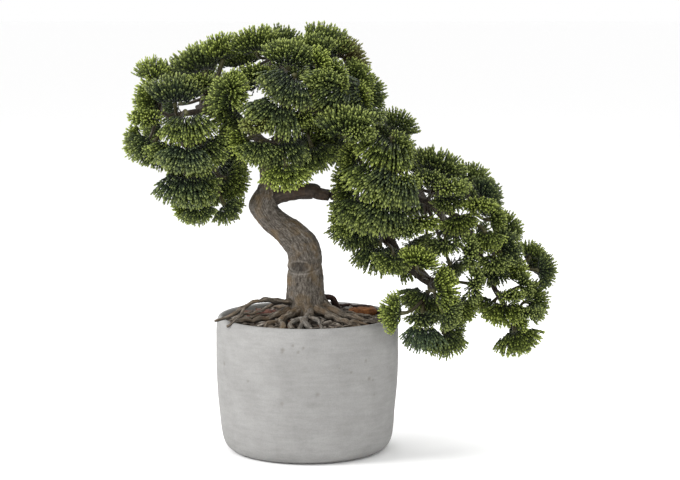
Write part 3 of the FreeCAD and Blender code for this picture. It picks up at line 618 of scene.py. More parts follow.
# ---------------------------------------------------------------- roots
# Each root's runs, as points x, y, height and radius: the root itself, then its side shoots.
ROOTS = {
    "root_left_arch": [
        [(-9, -7, 122, 4.2), (-16, -10, 123.5, 3), (-27, -16, 126.2, 2.2), (-40, -24, 127.2, 1.9),
         (-49, -29, 124.6, 1.8), (-56, -34, 119.4, 1.8), (-65, -39, 115.6, 1.6),
         (-74, -42, 113.2, 0.9)],
        [(-20, -12, 124, 1.5), (-32, -14, 121, 1.3), (-42, -22, 117, 1.4), (-54, -26, 115, 1.2),
         (-62, -24, 111, 0.8)],
        [(-50, -30, 123.6, 1.2), (-53, -38, 117, 1.3), (-60, -42, 113, 1.1), (-64, -42, 109, 0.8)],
    ],
    "root_left_low": [
        [(-12, -8, 116, 4.6), (-22, -16, 115.5, 3), (-32, -26, 112.5, 2.4), (-44, -32, 112.8, 2),
         (-56, -35, 111, 1.6), (-63, -34, 108, 1)],
        [(-22, -17, 115, 1.5), (-36, -20, 115.4, 1.3), (-48, -18, 113, 1.2), (-58, -20, 109, 0.8)],
    ],
    "root_front_left": [
        [(-7, -11, 117, 4.4), (-14, -22, 115, 3.2), (-22, -34, 112.4, 2.6), (-31, -43, 111.2, 2.2),
         (-34, -52, 108, 1.8)],
        [(-20, -33, 113.4, 1.8), (-20, -44, 112.6, 2), (-19, -52, 111, 2.4), (-21, -57, 107, 1.6)],
    ],
    "root_front_knot": [
        [(3, -13, 117, 3.6), (2, -24, 115.5, 2.6), (0, -34, 114, 2.8), (-3, -44, 112.6, 2.8),
         (1, -52, 110, 2.4), (8, -57, 107.4, 1.5)],
        [(-1, -38, 113.4, 2), (-8, -44, 113.4, 2), (-13, -52, 110.8, 2), (-10, -59, 107.4, 1.3)],
        [(2, -34, 114.6, 1.8), (8, -42, 113.6, 2.1), (13, -49, 110.4, 1.8), (10, -58, 107.6, 1.2)],
        [(-3, -46, 112, 1.6), (-6, -54, 109.6, 1.7), (-2, -61, 107, 1.2)],
    ],
    "root_front_right": [
        [(9, -10, 118, 4.6), (17, -20, 115.8, 3.2), (25, -30, 112.8, 2.6), (34, -38, 111, 2.2),
         (44, -43, 108.4, 1.4)],
        [(30, -36, 112, 1.4), (41, -36, 111.2, 1.3), (54, -40, 109.4, 0.9)],
    ],
    "root_right_long": [
        [(12, -4, 121, 5), (20, -9, 116.6, 3.8), (30, -14, 113.6, 2.8), (43, -22, 111.8, 2.2),
         (57, -28, 110.6, 1.5), (65, -26, 108, 0.9)],
        [(28, -13, 114.6, 1.7), (38, -10, 114.8, 1.5), (46, -14, 112.6, 1.4), (60, -14, 110, 0.9)],
    ],
    "root_right_knee": [
        [(8, 7, 117, 3.4), (13, 11, 123, 3.4), (18, 14, 123.2, 3.2), (23, 17, 119.6, 2.8),
         (26, 20, 112, 2.4)],
        [(22, 30, 113.6, 1.4), (32, 38, 114, 1.5), (44, 42, 112.4, 1.4), (56, 34, 112.6, 1.3),
         (62, 26, 109.6, 0.9)],
    ],
    "root_back": [
        [(-6, 11, 119, 4.2), (-12, 24, 116, 3), (-22, 40, 112, 2.2), (-31, 52, 108.5, 1.4)],
        [(-12, 23, 116, 1.8), (-3, 38, 113, 1.7), (5, 52, 109, 1.1)],
    ],
}


def make_chunk(name, cad, place_at, size, turn, mat):
    """A broken slab of bark: a rounded wedge with a rough, layered face."""
    n = 40
    t = np.linspace(-1, 1, n)
    u, v = np.meshgrid(t, t, indexing="ij")
    edge = np.clip(1.0 - np.maximum(abs(u), abs(v)) ** 6, 0, 1) ** 0.5
    wave = 0.1 * np.sin(7 * u + 2 * v)
    verts = np.vstack([
        np.stack([u * size[0] / 2 * (1 - 0.14 * v * v), v * size[1] / 2 * (1 - 0.2 * u * u),
                  sign * size[2] / 2 * edge * (0.8 + wave)], axis=-1).reshape(-1, 3)
        for sign in (1, -1)])
    verts += 0.5 * np.stack([noise(verts + s, 3.5) for s in (3, 31, 57)], axis=-1)
    verts[:, 2] += 0.35 * noise(verts * [0.25, 1, 1], 1.4)
    # The two sheets share their outer edge.
    grid = np.arange(n * n).reshape(n, n)
    top = np.stack([grid[:-1, :-1], grid[1:, :-1], grid[1:, 1:], grid[:-1, 1:]], -1).reshape(-1, 4)
    low = top[:, ::-1] + n * n
    border = np.concatenate([grid[0, :-1], grid[:-1, -1], grid[-1, :0:-1], grid[:0:-1, 0]])
    verts[border + n * n] = verts[border] - [0, 0, 0.3]
    nxt = np.roll(border, -1)
    walls = np.stack([border, nxt, nxt + n * n, border + n * n], axis=1)
    verts = verts @ rotation(2, math.radians(turn)).T + place_at
    heap = Heap()
    heap.add(verts, np.concatenate([top, low, walls]), np.zeros((0, 3)), scar=0, crease=0,
             fibre_x=np.tile(v.ravel() * size[1] / 2, 2), fibre_y=0,
             fibre_run=np.tile(u.ravel() * size[0] / 2, 2))
    claim(heap.build(name, mat), cad)


# ---------------------------------------------------------------- dressing
BED_R = 69.0
BED_TOP = 110.5
BED_FALL = 4.6
BED_BOTTOM = 98.0
CHIPS = 620
CHIP_CORNERS = 7
# No chips lie under the foot of the trunk.
CHIP_FREE_R = 19


def bed_height(radius):
    return BED_TOP - BED_FALL * (radius / BED_R) ** 2


def make_bed(heap):
    rings, sides = 46, 160
    radius = np.linspace(0.6, BED_R + 0.2, rings)
    angle = around(sides)
    x = (radius[:, None] * np.cos(angle)).ravel()
    y = (radius[:, None] * np.sin(angle)).ravel()
    top = np.stack([x, y, bed_height(np.hypot(x, y))], axis=-1)
    top[:, 2] += 1.1 * noise(top, 7) + 0.6 * noise(top, 2.6)
    low = top[-sides:] * [1, 1, 0] + [0, 0, BED_BOTTOM]
    quads, tris = skin(rings + 1, sides)
    ends = np.array([[0, 0, BED_TOP - 0.1], [0, 0, BED_BOTTOM]])
    heap.add(np.vstack([top, low, ends]), quads, tris, tone=0.12)


def make_dressing():
    heap = Heap()
    make_bed(heap)
    # Loose chips: irregular flakes lying almost flat, in every size.
    for _ in range(CHIPS):
        r = 66 * math.sqrt(rng.random())
        a = rng.uniform(0, 2 * math.pi)
        if r < CHIP_FREE_R:
            continue
        size = rng.uniform(2.0, 6.2)
        slim = rng.uniform(0.25, 0.75)
        thick = rng.uniform(0.5, 1.5)
        jitter = rng.uniform(-0.3, 0.3, CHIP_CORNERS)
        ring = (np.arange(CHIP_CORNERS) + jitter) * 2 * math.pi / CHIP_CORNERS
        length = size * rng.uniform(0.7, 1.15, CHIP_CORNERS)
        flat = np.stack([np.cos(ring) * length, np.sin(ring) * length * slim, 0 * ring], axis=-1)
        # The flake's rings from below: share of its width, and height as a share of its thickness.
        layers = [flat * [wide, wide, 1] + [0, 0, thick * rise]
                  for wide, rise in ((0.7, -0.5), (1, -0.2), (0.96, 0.25), (0.66, 0.5))]
        verts = np.vstack(layers + [[[0, 0, -thick * 0.5]], [[0, 0, thick * 0.55]]])
        verts += rng.normal(0, 0.1 * thick, verts.shape)
        yaw, tilt, lean = rng.uniform(0, 2 * math.pi), rng.normal(0, 0.36), rng.normal(0, 0.36)
        spin = rotation(2, yaw) @ rotation(1, lean) @ rotation(0, tilt)
        height = bed_height(r) + rng.uniform(0.2, 2.4)
        verts = verts @ spin.T + [r * math.cos(a), r * math.sin(a), height]
        # A chip that would reach into the pot's wall is pushed back inside it.
        out = np.hypot(verts[:, 0], verts[:, 1])
        verts[:, :2] *= np.minimum(1, (BED_R + 0.4) / np.maximum(out, 1))[:, None]
        quads, tris = skin(len(layers), CHIP_CORNERS)
        tone = rng.choice([rng.uniform(0.1, 0.9), 1.0], p=[0.93, 0.07])
        heap.add(verts, quads, tris, tone=tone)
    claim(heap.build("bark_chip_bed", M_CHIPS, smooth=False), "dressing")


# ---------------------------------------------------------------- limbs
# Points x, y, height and radius. The leader and the bough are fixed, the wired limbs bend.
LEADER = [(-34, 0, 211, 5.6), (-34, 0, 218, 5.1), (-34, 0, 226, 4.8), (-33, 2, 240, 4.5),
          (-32, 3, 255, 4.6)]
BOUGH = [(-32, 0, 208, 7), (-20, 0, 212, 6.8), (-8, 0, 214.2, 6.7), (2, 0, 214.6, 6.7),
         (6.5, 0, 214.2, 6.3), (9.5, 0, 212.6, 4.9), (18, 0, 211.3, 4.4)]
LIMBS = {
    "left_limb": [(-37, 2, 255, 4), (-41, 2, 259, 4.1), (-60, 2, 276, 3.6), (-85, 2, 280, 3),
                  (-114, 0, 276, 2)],
    "left_low_twig": [(-58, 0, 274, 2.8), (-78, -5, 250, 2.6), (-86, -7, 238, 2.3),
                      (-92, -8, 218, 1.8)],
    "left_back_twig": [(-70, 4, 278, 2.6), (-82, 26, 284, 2.3), (-94, 54, 281, 1.8)],
    "right_limb": [(-27, 4, 255, 4.1), (-22, 4, 260, 4.1), (-12, 3, 272, 3.8), (5, 3, 282, 3.6),
                   (30, 2, 285, 2.8), (48, 0, 290, 2)],
    "top_twig": [(-13, 3, 272, 2.8), (-22, 3, 300, 2.6), (-20, 2, 324, 1.8)],
    "top_right_twig": [(4, 3, 282, 2.8), (12, 2, 305, 2.4), (18, 2, 324, 1.7)],
    "front_twig": [(-13, 2, 272, 2.8), (-15, -18, 276, 2.4), (-18, -42, 264, 1.8)],
    "crown_back_twig": [(-2, 4, 279, 2.8), (-8, 32, 285, 2.4), (-10, 56, 281, 1.8)],
    "cascade_limb": [(20, 0, 211.4, 4.2), (26, 0, 210.5, 4), (40, 0, 204, 3.8), (62, -2, 184, 3.8),
                     (76, -3, 162, 3.6), (92, -4, 145, 3), (112, -4, 132, 2.4),
                     (127, -4, 118, 1.8)],
    "cascade_upper_limb": [(38, 0, 205, 3.2), (66, 2, 214, 3.1), (100, 4, 205, 2.8),
                           (128, 4, 188, 2.5), (146, 2, 156, 2.2), (156, 0, 132, 2),
                           (168, 0, 112, 1.6)],
    "cascade_front_twig": [(52, -1, 193, 2.6), (58, -20, 202, 2.4), (63, -34, 222, 1.8)],
    "cascade_back_twig": [(98, 4, 206, 2.4), (94, 28, 213, 2.2), (92, 50, 214, 1.8)],
}

# ---------------------------------------------------------------- sprigs
# Each sprig: its limb, where its stem leaves the limb, and its sprays. A spray is x, y and z of the
# hub its strands grow from, the way it faces, its reach from hub to tips and, where it has one, its
# roll about that direction in degrees.
SPRIGS = {
    "sprig_left_tip": ("left_limb", (-112, 0, 276), [
        (-126, 0, 306, 0, 0, 1, 20, -35), (-121, -4, 289, -1, -0.1, 0, 21),
        (-126, -20, 276, -0.5, -0.85, 0.1, 18), (-134, -4, 255, -1, -0.1, -0.1, 17),
        (-124, 22, 284, -0.7, 0.6, 0.3, 20)]),
    "sprig_left_front": ("left_limb", (-100, 0, 278), [
        (-106, -22, 287, 0, -0.3, 1, 25), (-122, -26, 258, -0.5, -0.5, -0.7, 23),
        (-108, -38, 257, -0.2, -0.5, -0.9, 21), (-95, -42, 281, 0.1, -0.4, -0.95, 26)]),
    "sprig_left_top": ("left_limb", (-85, 2, 280), [
        (-84, -5, 311, -0.3, -0.1, 0.95, 25), (-108, 16, 306, -0.1, 0.3, 0.95, 19),
        (-68, -12, 322, 0, -0.1, 1, 23, 45), (-86, -14, 300, -0.1, -0.8, 0.5, 18),
        (-58, -38, 294, -0.75, -0.4, 0.5, 21), (-61, -40, 299, 0.8, -0.5, 0.1, 19),
        (-52, -24, 284, -0.8, -0.3, -0.6, 28)]),
    "sprig_left_low_front": ("left_low_twig", (-78, -5, 250), [
        (-85, -38, 257, 0.6, -0.3, -0.75, 25), (-96, -46, 256, -0.1, -0.5, -0.9, 24)]),
    "sprig_left_low": ("left_low_twig", (-90, -8, 225), [
        (-97, -32, 232, -0.1, -0.5, -0.9, 28), (-99, -12, 231, -0.9, -0.2, -0.3, 16),
        (-89, -32, 224, 0.5, -0.4, -0.8, 21), (-95, -20, 205, -0.9, -0.1, -0.45, 15),
        (-88, -28, 206, 0.2, -0.3, -0.95, 17)]),
    "sprig_left_low_inner": ("left_low_twig", (-82, -6, 238), [
        (-72, -2, 226, 0.1, -0.1, -1, 23), (-67, -4, 226, 0.95, -0.1, -0.25, 21),
        (-67, -22, 206, 0.6, -0.2, -0.75, 17), (-72, 18, 238, 0.9, 0.2, -0.35, 22)]),
    "sprig_left_back": ("left_back_twig", (-91, 49, 280), [
        (-108, 52, 284, -0.8, 0.5, 0.2, 22), (-92, 58, 300, -0.1, 0.5, 0.9, 22),
        (-78, 62, 280, 0.3, 0.9, 0, 22), (-98, 56, 262, -0.3, 0.6, -0.8, 22),
        (-84, 24, 316, -0.2, 0.4, 0.9, 22), (-72, 30, 317, 0.1, 0.4, 0.95, 22),
        (-70, 40, 300, 0.2, 0.9, 0.3, 20)]),
    "sprig_left_back_low": ("left_low_twig", (-84, -6, 241), [
        (-104, 30, 240, -0.7, 0.4, -0.6, 22), (-84, 36, 232, 0, 0.5, -0.9, 22),
        (-66, 40, 250, 0.4, 0.7, -0.6, 22), (-122, 28, 262, -0.9, 0.4, 0, 20)]),
    "sprig_top": ("top_twig", (-21, 3, 319), [
        (-40, -14, 328, -0.2, -0.3, 1, 23), (-54, 10, 316, -0.2, 0.2, 1, 20),
        (-38, -24, 308, -0.2, -0.8, 0.6, 18), (-22, 4, 329, 0.15, 0.1, 1, 22),
        (-14, -28, 316, 0.15, -0.4, 0.95, 25), (-28, 24, 326, -0.1, 0.4, 0.95, 22)]),
    "sprig_top_right": ("top_right_twig", (15, 2, 315), [
        (5, -12, 323, -0.1, -0.2, 1, 22), (14, 0, 328, 0.4, 0, 0.9, 24),
        (28, 2, 320, 0.85, -0.1, 0.55, 22), (8, -36, 319, 0.8, -0.6, 0.2, 16),
        (8, 24, 322, 0.2, 0.5, 0.9, 22), (21, -34, 309, 0.75, -0.6, 0.2, 17),
        (14, -42, 302, -0.1, -0.7, 0.7, 18), (36, -6, 304, 0.9, -0.2, 0.4, 20)]),
    "sprig_right_tip": ("right_limb", (46, 0, 290), [
        (45, 0, 292, 1, 0, 0.15, 21), (40, -22, 290, 0.8, -0.6, 0.1, 17),
        (48, -32, 279, 0.5, -0.8, -0.1, 17), (40, 22, 296, 0.7, 0.6, 0.3, 21)]),
    "sprig_right_comb": ("right_limb", (28, 2, 285), [
        (48, -28, 296, -0.95, -0.15, -0.3, 30), (29, -40, 305, -0.8, -0.2, -0.55, 30),
        (32, -46, 263, -0.05, -0.4, 0.9, 26), (40, -48, 266, 0.5, -0.8, 0, 17)]),
    "sprig_crown_front": ("front_twig", (-15, -30, 276), [
        (-9, -46, 312, -0.5, -0.3, -0.8, 27), (-20, -50, 291, -0.4, -0.3, -0.85, 28),
        (-6, -38, 280, -0.3, -0.8, -0.4, 18), (-37, -50, 272, -0.5, -0.8, 0, 16)]),
    "sprig_bright": ("front_twig", (-18, -40, 266), [
        (-21, -44, 260, 0.1, -0.3, -0.95, 26), (-16, -56, 241, 0.05, -0.45, -0.9, 22),
        (-36, -48, 259, -0.1, -0.4, -0.95, 20), (-46, -42, 261, -0.65, -0.4, -0.7, 19)]),
    "sprig_crown_under": ("right_limb", (-8, 3, 275), [
        (-8, -6, 262, 0.75, 0, -0.6, 32), (4, -24, 254, 0.35, -0.2, -0.95, 23),
        (30, -8, 262, -0.5, 0, -0.85, 26), (8, -2, 278, 0.2, -0.6, -0.6, 20)]),
    "sprig_crown_back": ("crown_back_twig", (-9, 52, 282), [
        (-38, 50, 300, -0.4, 0.7, 0.6, 22), (-14, 60, 302, 0, 0.6, 0.8, 22),
        (-30, 60, 276, -0.4, 0.9, -0.1, 22), (-12, 56, 258, 0, 0.7, -0.8, 22),
        (14, 48, 304, 0.3, 0.6, 0.7, 22), (28, 44, 284, 0.7, 0.7, 0.1, 22),
        (12, 58, 280, 0.2, 0.9, -0.1, 22), (14, 40, 260, 0.3, 0.5, -0.8, 22)]),
    "sprig_cascade_left": ("cascade_limb", (45, -2, 201), [
        (35, -18, 195, -0.9, -0.2, -0.3, 18), (43, -11, 190, -0.3, -0.1, -0.95, 25),
        (38, -22, 222, -0.9, -0.35, -0.2, 20), (42, -28, 244, -0.85, -0.4, 0.1, 18),
        (40, 26, 205, -0.3, 0.8, -0.4, 21)]),
    "sprig_cascade_front": ("cascade_front_twig", (62, -30, 212), [
        (68, -38, 262, -0.45, -0.35, -0.85, 30), (60, -44, 238, -0.45, -0.3, -0.85, 30),
        (50, -40, 212, -0.35, -0.3, -0.9, 28), (74, -48, 236, -0.4, -0.3, -0.9, 30),
        (66, -44, 212, -0.35, -0.3, -0.9, 27)]),
    "sprig_cascade_top": ("cascade_upper_limb", (66, 2, 214), [
        (72, -4, 264, 0.4, -0.1, 0.9, 20), (72, -32, 250, 0.75, -0.6, 0.25, 18),
        (60, 14, 255, 0.3, 0.2, 0.95, 17), (70, 22, 250, 0.3, 0.7, 0.6, 21)]),
    "sprig_cascade_dome": ("cascade_upper_limb", (100, 4, 205), [
        (104, -16, 228, 0.3, -0.4, 0.85, 25), (98, -30, 224, -0.1, -0.85, 0.5, 18),
        (114, -30, 220, 0.5, -0.8, 0.2, 19), (76, -42, 226, 0.6, -0.8, 0.1, 17),
        (100, 24, 222, 0.2, 0.6, 0.7, 22), (116, -20, 213, 0, -0.6, -0.8, 17)]),
    "sprig_cascade_right": ("cascade_upper_limb", (130, 4, 188), [
        (133, 0, 220, 0.3, 0, 0.95, 20), (143, -4, 210, 0.7, -0.2, 0.65, 19),
        (139, -24, 204, 0.1, -0.9, 0.3, 16), (149, -16, 193, 0.8, -0.5, 0.2, 16),
        (138, 26, 200, 0.5, 0.7, 0.5, 20)]),
    "sprig_cascade_far": ("cascade_upper_limb", (146, 2, 158), [
        (162, 0, 182, 0.8, 0, 0.55, 17), (158, -18, 168, 0.85, -0.4, 0.4, 20),
        (152, -30, 164, 0, -0.8, -0.6, 17), (164, -12, 146, 0.65, -0.2, 0.7, 20),
        (158, 20, 164, 0.6, 0.7, 0.2, 19), (152, -14, 153, -0.1, -0.5, -0.85, 17)]),
    "sprig_cascade_mid": ("cascade_upper_limb", (112, 4, 199), [
        (92, -36, 196, 0, -0.85, -0.4, 18), (80, -42, 192, -0.2, -0.8, -0.5, 17),
        (123, -21, 197, 0.2, -0.6, -0.8, 19), (112, -32, 178, -0.2, -0.8, -0.5, 18),
        (145, -26, 184, 0, -0.4, -0.9, 19), (130, -38, 168, 0.25, -0.9, 0.1, 18, 90)]),
    "sprig_cascade_arc": ("cascade_limb", (94, -4, 144), [
        (89, -44, 159, 0.3, -0.5, 0.8, 19), (103, -42, 138, 0.9, -0.4, 0.1, 22),
        (111, -46, 122, 0.7, -0.6, -0.3, 17), (80, 6, 166, 0.8, 0.1, -0.55, 25),
        (133, -38, 143, 0.35, -0.9, 0, 18, 80)]),
    "sprig_cascade_low": ("cascade_limb", (121, -4, 124), [
        (125, -10, 122, 0.6, -0.1, -0.8, 18), (114, -18, 102, 0.85, -0.2, -0.5, 17),
        (112, -26, 101, 0, -0.2, -1, 21), (118, 20, 118, 0.3, 0.7, -0.6, 20)]),
    "sprig_cascade_low_left": ("cascade_limb", (104, -4, 137), [
        (96, -28, 108, -0.2, -0.2, -1, 23), (76, -62, 123, -0.95, -0.15, 0.1, 19),
        (99, -14, 134, -0.4, -0.1, -0.9, 24), (98, 20, 124, -0.1, 0.7, -0.7, 20),
        (94, -34, 118, 0, -0.8, -0.6, 16)]),
    "sprig_cascade_inner": ("cascade_limb", (64, -2, 181), [
        (60, -17, 173, -0.05, -0.2, -1, 25), (70, -32, 166, -0.2, -0.6, -0.75, 19),
        (60, 24, 180, -0.1, 0.8, -0.5, 21)]),
    "sprig_cascade_tail": ("cascade_upper_limb", (168, 0, 112), [
        (181, -8, 124, 1, -0.1, 0, 20), (180, -30, 119, 0.6, -0.8, 0, 14),
        (171, -12, 101, 0.3, -0.3, -0.9, 22), (169, 6, 101, 0.95, 0.1, -0.2, 12),
        (170, -20, 112, 0.6, -0.7, 0.3, 14)]),
    "sprig_cascade_hanging": ("cascade_upper_limb", (156, 0, 132), [
        (155, -4, 124, -0.5, -0.1, -0.85, 17), (161, -22, 125, 0, -0.5, -0.85, 21),
        (163, -30, 131, 0.5, -0.75, 0.3, 15), (174, -22, 138, 0.7, -0.6, 0.2, 14)]),
    "sprig_cascade_tip": ("cascade_upper_limb", (150, 2, 150), [
        (190, -8, 150, 1, -0.25, 0, 17), (184, 0, 160, 0.4, 0, 0.9, 14),
        (185, 8, 150, 0.8, 0.2, 0.6, 19)]),
    "sprig_cascade_back": ("cascade_back_twig", (92, 44, 214), [
        (74, 46, 224, -0.5, 0.7, 0.5, 22), (94, 54, 226, 0.1, 0.6, 0.8, 22),
        (112, 50, 208, 0.6, 0.8, 0, 22), (90, 56, 200, 0, 0.8, -0.6, 22),
        (120, 36, 180, 0.3, 0.8, -0.4, 20), (100, 40, 166, -0.2, 0.8, -0.6, 21),
        (140, 34, 170, 0.6, 0.7, -0.2, 20), (120, 30, 150, 0.3, 0.7, -0.6, 20)]),
}

# Sprays of a colour of their own, by sprig and number: tint (0 bluish, 1 lively), how rusty the
# centre is, and how blue the tips are. The others draw their tint at random.
SPECIAL = {
    ("sprig_bright", 1): (1.25, 0, 0),
    ("sprig_top_right", 2): (0.3, 0.75, 0),
    ("sprig_crown_front", 3): (0.4, 0.4, 0),
    ("sprig_cascade_low_left", 0): (0.2, 0, 0.38),
    ("sprig_cascade_right", 1): (0.0, 0, 0.1),
    ("sprig_top_right", 3): (1.1, 0, 0),
    ("sprig_cascade_arc", 0): (1.05, 0, 0),
    ("sprig_cascade_arc", 1): (1.0, 0, 0),
    ("sprig_cascade_mid", 1): (0.1, 0, 0),
    ("sprig_cascade_front", 4): (0.1, 0, 0),
    ("sprig_cascade_low_left", 1): (0.9, 0, 0),
    ("sprig_left_tip", 0): (0.9, 0, 0),
    ("sprig_left_tip", 1): (0.85, 0, 0),
    ("sprig_left_top", 2): (0.8, 0, 0),
    ("sprig_left_front", 1): (0.15, 0, 0),
    ("sprig_left_low", 0): (0.1, 0, 0.1),
    ("sprig_left_low_front", 1): (0.05, 0, 0.1),
}

# A strand is a chain of overlapping scales: each swells towards its end, then steps in.
SCALES = np.arange(4)
RING_AT = np.stack([SCALES, SCALES + 0.66], axis=1).ravel() / len(SCALES) * 0.94 + 0.03
RING_THICK = np.stack([0.44 + 0.03 * SCALES, 0.94 + 0.06 * SCALES], axis=1).ravel()
# RING_LIGHT marks each scale's base ring 0, for painted shade, and its wide ring 1, for a painted
# highlight.
RING_LIGHT = np.tile([0.0, 1.0], len(SCALES))
# The scales sit in crossed pairs: every other one is broad across the fan, the rest out of it.
RING_ACROSS = np.repeat(np.where(SCALES % 2, 0.82, 1.15), 2)
RING_DEEP = np.repeat(np.where(SCALES % 2, 1.0, 0.65), 2)
STRAND_SIDES = 4
STRAND_SHARE = 0.46
# Strands grow in tiers up both faces of the fan: where they root, as a share of the reach, and how
# far they lean out of the fan in degrees.
TIERS = [(0.04, 56), (0.10, 30), (0.25, 42), (0.31, 16), (0.42, 27), (0.48, 7)]
# Half the angle of a short fan in degrees, and how much narrower a comb is.
FAN_HALF = 76.0
COMB_CUT = 34.0
# A spray of this reach or less is a fan; one that reaches COMB_EXTRA further is all comb.
FAN_REACH = 19.0
COMB_EXTRA = 9.0
TIP_SPACING = 2.4
STRAND_WIDTH = 0.76
# Room round and above the pot, for the sprays that swing towards it when the cascade bends down.
SWAY_ROOM = 8.0


def fan_normal(axis, roll=0.0):
    """The way a fan's flat side faces: to the front, unless the spray itself faces there."""
    reference = np.array([0.0, -1.0, 0.0])
    if abs(axis @ reference) > 0.75:
        reference = np.array([0.0, 0.0, 1.0])
    flat = unit(reference - axis * (reference @ axis))
    a = math.radians(roll)
    return flat * math.cos(a) + np.cross(axis, flat) * math.sin(a)


def strand_skins(heap, root, aim, side, face, length, width, curl, inner, tint, rust, blue):
    """All strands of one spray at once. Each argument up to inner has one row per strand."""
    n = len(root)
    s = RING_AT[None, :, None]
    centre = root[:, None] + length[:, None, None] * (aim[:, None] * s + curl[:, None] * s ** 2)
    angle = around(STRAND_SIDES)
    thick = width[:, None] * RING_THICK[None, :]
    out = (side[:, None, None] * (RING_ACROSS[:, None] * np.cos(angle))[None, :, :, None]
           + face[:, None, None] * (RING_DEEP[:, None] * np.sin(angle))[None, :, :, None])
    verts = centre[:, :, None] + out * thick[:, :, None, None]
    start = root - aim * 0.3
    tip = root + length[:, None] * (aim + curl)
    rings = len(RING_AT)
    each = rings * STRAND_SIDES + 2
    verts = np.concatenate([verts.reshape(n, -1, 3), start[:, None], tip[:, None]], axis=1)
    quads, tris = skin(rings, STRAND_SIDES)
    offset = (np.arange(n) * each)[:, None, None]
    run = np.concatenate([np.repeat(RING_AT, STRAND_SIDES), [0, 1]])
    light = np.concatenate([np.repeat(RING_LIGHT, STRAND_SIDES), [0, 1]])
    along = 0.45 * run[None, :] + 0.58 * (inner[:, None] + STRAND_SHARE * run[None, :])
    heap.add(verts, (quads[None] + offset), (tris[None] + offset),
             along=along.ravel(), scale=np.tile(light, n), strand=np.repeat(rng.random(n), each),
             tint=tint, rust=rust * (1 - 0.6 * along.ravel()), blue=blue * along.ravel())


def add_spray(heap, hub, axis, flat, reach, tint, rust, blue):
    """A fan of strands about axis; flat is the direction its flat side faces."""
    side = np.cross(flat, axis)
    # The longer a spray is, the more it is a comb, its strands nearly side by side.
    combed = float(np.clip((reach - FAN_REACH) / COMB_EXTRA, 0, 1))
    half = math.radians(FAN_HALF - COMB_CUT * combed)
    wide = 2.5 + 8.5 * combed
    off, tilt, inner = [], [], []
    for at, lean in TIERS:
        tip_arc = (at + STRAND_SHARE) * reach * 2 * half * math.cos(math.radians(lean)) + 2 * wide
        count = int(round(tip_arc / TIP_SPACING))
        for sign in (1, -1):
            off.append((np.arange(count) + 0.5 + 0.25 * sign) / count * 2 - 1)
            tilt.append(np.full(count, sign * lean))
            inner.append(np.full(count, at))
    off = np.concatenate(off)
    n = len(off)
    inner = np.concatenate(inner) + rng.normal(0, 0.025, n)
    phi = np.radians(np.concatenate(tilt) + rng.normal(0, 5, n))
    theta = off * half + np.radians(rng.normal(0, 3.5, n))

    def heading(turn, rise):
        """The direction turned within the fan, then raised out of it."""
        return (axis * (np.cos(turn) * np.cos(rise))[:, None]
                + side * (np.sin(turn) * np.cos(rise))[:, None] + flat * np.sin(rise)[:, None])

    root = hub + heading(theta, phi * 0.4) * (inner * reach)[:, None] + side * (off * wide)[:, None]
    root += axis * ((1 - off ** 2) * (0.5 + 2.5 * combed))[:, None]
    aim = heading(theta * 0.88, phi)
    across = unit(np.cross(flat, aim))
    face = np.cross(aim, across)
    length = reach * STRAND_SHARE * (1 - 0.06 * off ** 2) * rng.normal(1, 0.07, n)
    width = STRAND_WIDTH * (reach / 20) ** 0.3 * rng.normal(1, 0.07, n)
    curl = axis * rng.uniform(-0.02, 0.12, (n, 1)) + rng.normal(0, 0.04, (n, 3))
    # No strand grows where the pot would be in its way.
    tip = root + length[:, None] * (aim + curl)
    beside = np.hypot(tip[:, 0], tip[:, 1]) > POT_R + SWAY_ROOM
    free = beside | (tip[:, 2] > POT_H + SWAY_ROOM)
    rows = [row[free] for row in (root, aim, across, face, length, width, curl, inner)]
    strand_skins(heap, *rows, tint, rust, blue)


def bezier(a, b, c, d, count):
    t = np.linspace(0, 1, count)[:, None]
    return a * (1 - t) ** 3 + 3 * b * t * (1 - t) ** 2 + 3 * c * t * t * (1 - t) + d * t ** 3


def make_sprig(name, start, fans):
    """A stem, its fork, and a stalk and a spray of strands for each fan."""
    heap = Heap()
    start = np.array(start, float)
    sprays = []
    for x, y, z, ax, ay, az, reach, *roll in fans:
        axis = unit([ax, ay, az])
        hub = np.array([x, y, z], float)
        sprays.append((hub, axis, fan_normal(axis, *roll), reach))
    middle = np.mean([hub + axis * reach * 0.5 for hub, axis, _, reach in sprays], axis=0)
    fork = start + (middle - start) * 0.45
    bare = dict(strand=0.5, tint=0.2, rust=0.3, blue=0, scale=0.0)
    tube(heap, [(*start, 1.9), (*(start * 0.5 + fork * 0.5 + [0, 0, 0.6]), 1.6), (*fork, 1.7)],
         sides=8, step=2, rough=0.15, grain=2, **bare)
    for k, (hub, axis, flat, reach) in enumerate(sprays):
        gap = np.linalg.norm(hub - fork)
        lead = min(gap * 0.4, 9)
        line = bezier(fork, fork * 0.7 + hub * 0.3, hub - axis * lead, hub + axis * 1.0, 7)
        radii = np.linspace(1.45, 1.25, 7)
        radii[-2:] = (1.5, 2.1)
        tube(heap, np.column_stack([line, radii]), sides=7, step=2, rough=0.12, grain=2, **bare)
        usual = (float(np.clip(rng.normal(0.42, 0.24), 0, 1)), 0, 0)
        add_spray(heap, hub, axis, flat, reach, *SPECIAL.get((name, k), usual))
    claim(heap.build(name + "_sprays", M_SPRAY), name)


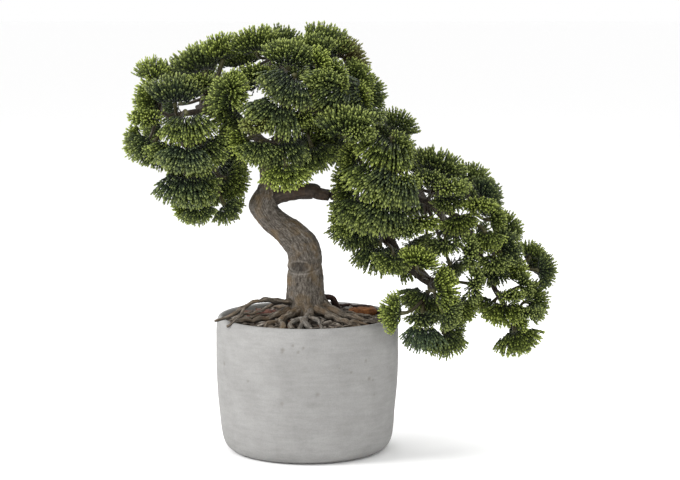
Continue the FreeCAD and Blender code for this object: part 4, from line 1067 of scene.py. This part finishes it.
# ---------------------------------------------------------------- build
make_pot()
make_trunk()
wood("upper_leader", [LEADER], M_TRUNK, "leader", 0.5, 3.2)
wood("stub_bough", [BOUGH], M_BOUGH, "right_bough", 0.8, 3.6, 32)
for name, runs in ROOTS.items():
    mat = {"root_right_knee": M_KNEE, "root_front_knot": M_GREY}.get(name, M_ROOT)
    wood(name + "_wood", runs, mat, name, 0.42, 1.8, 16, 0.7, 1.5)
make_chunk("orange_bark_flake", "bark_chunk_right", (46, 8, 113), (25, 14, 8), 14, M_ORANGE)
make_chunk("red_bark_flake", "bark_chunk_left", (-34, -2, 113), (19, 12, 8), -20, M_RED)
make_dressing()
for name, points in LIMBS.items():
    wood(name + "_wrap", [points], M_TWIG, name, 0.3, 2.4, 14, 1.0)
for name, (_, start, fans) in SPRIGS.items():
    make_sprig(name, start, fans)
# The rod and the filler keep their CAD shape and only take a material.
for name, mat in (("anchor_rod", plain("rod_steel", (0.5, 0.51, 0.52), 0.35, 1.0)),
                  ("filler", plain("plaster", (0.74, 0.72, 0.67), 0.9))):
    target = frame["nodes"][name]
    for spot in target.material_slots:
        spot.material = mat

# ---------------------------------------------------------------- floor, lights, camera
bpy.ops.mesh.primitive_plane_add(size=80, location=(0, 0, 0))
floor = bpy.context.object
floor.name = "studio_floor"
floor_mat, floor_tree, floor_shader = material("studio_floor", 0.9, 0.1)
floor_shader.inputs["Base Color"].default_value = (0.985, 0.985, 0.985, 1)
floor.data.materials.append(floor_mat)

world = bpy.data.worlds.new("studio")
bpy.context.scene.world = world
world.use_nodes = True
world.node_tree.nodes["Background"].inputs["Color"].default_value = (1, 1, 1, 1)
world.node_tree.nodes["Background"].inputs["Strength"].default_value = 1.0


def soft_light(name, place_at, aim, size, power):
    data = bpy.data.lights.new(name, "AREA")
    data.shape = "DISK"
    data.size = size
    data.energy = power
    lamp = bpy.data.objects.new(name, data)
    bpy.context.scene.collection.objects.link(lamp)
    lamp.location = place_at
    back = np.array(place_at) - np.array(aim)
    yaw = math.atan2(back[0], -back[1])
    lamp.rotation_euler = (math.atan2(math.hypot(back[0], back[1]), back[2]), 0, yaw)


soft_light("key", (-1.6, -0.55, 1.25), (0, 0, 0.2), 0.9, 31)
soft_light("fill", (0.7, -1.7, 1.0), (0, 0, 0.2), 1.2, 5)
soft_light("top", (0.1, 0.3, 1.6), (0, 0, 0.2), 1.0, 12)

camera = bpy.data.objects.new("camera", bpy.data.cameras.new("camera"))
bpy.context.scene.collection.objects.link(camera)
camera.location = (0.0272, -1.548, 0.367)
camera.rotation_euler = (math.radians(82.9), 0, 0)
camera.data.lens = 100
camera.data.sensor_width = 36
camera.data.clip_start = 0.05
camera.data.clip_end = 120
bpy.context.scene.camera = camera
bpy.context.scene.view_settings.view_transform = "Standard"
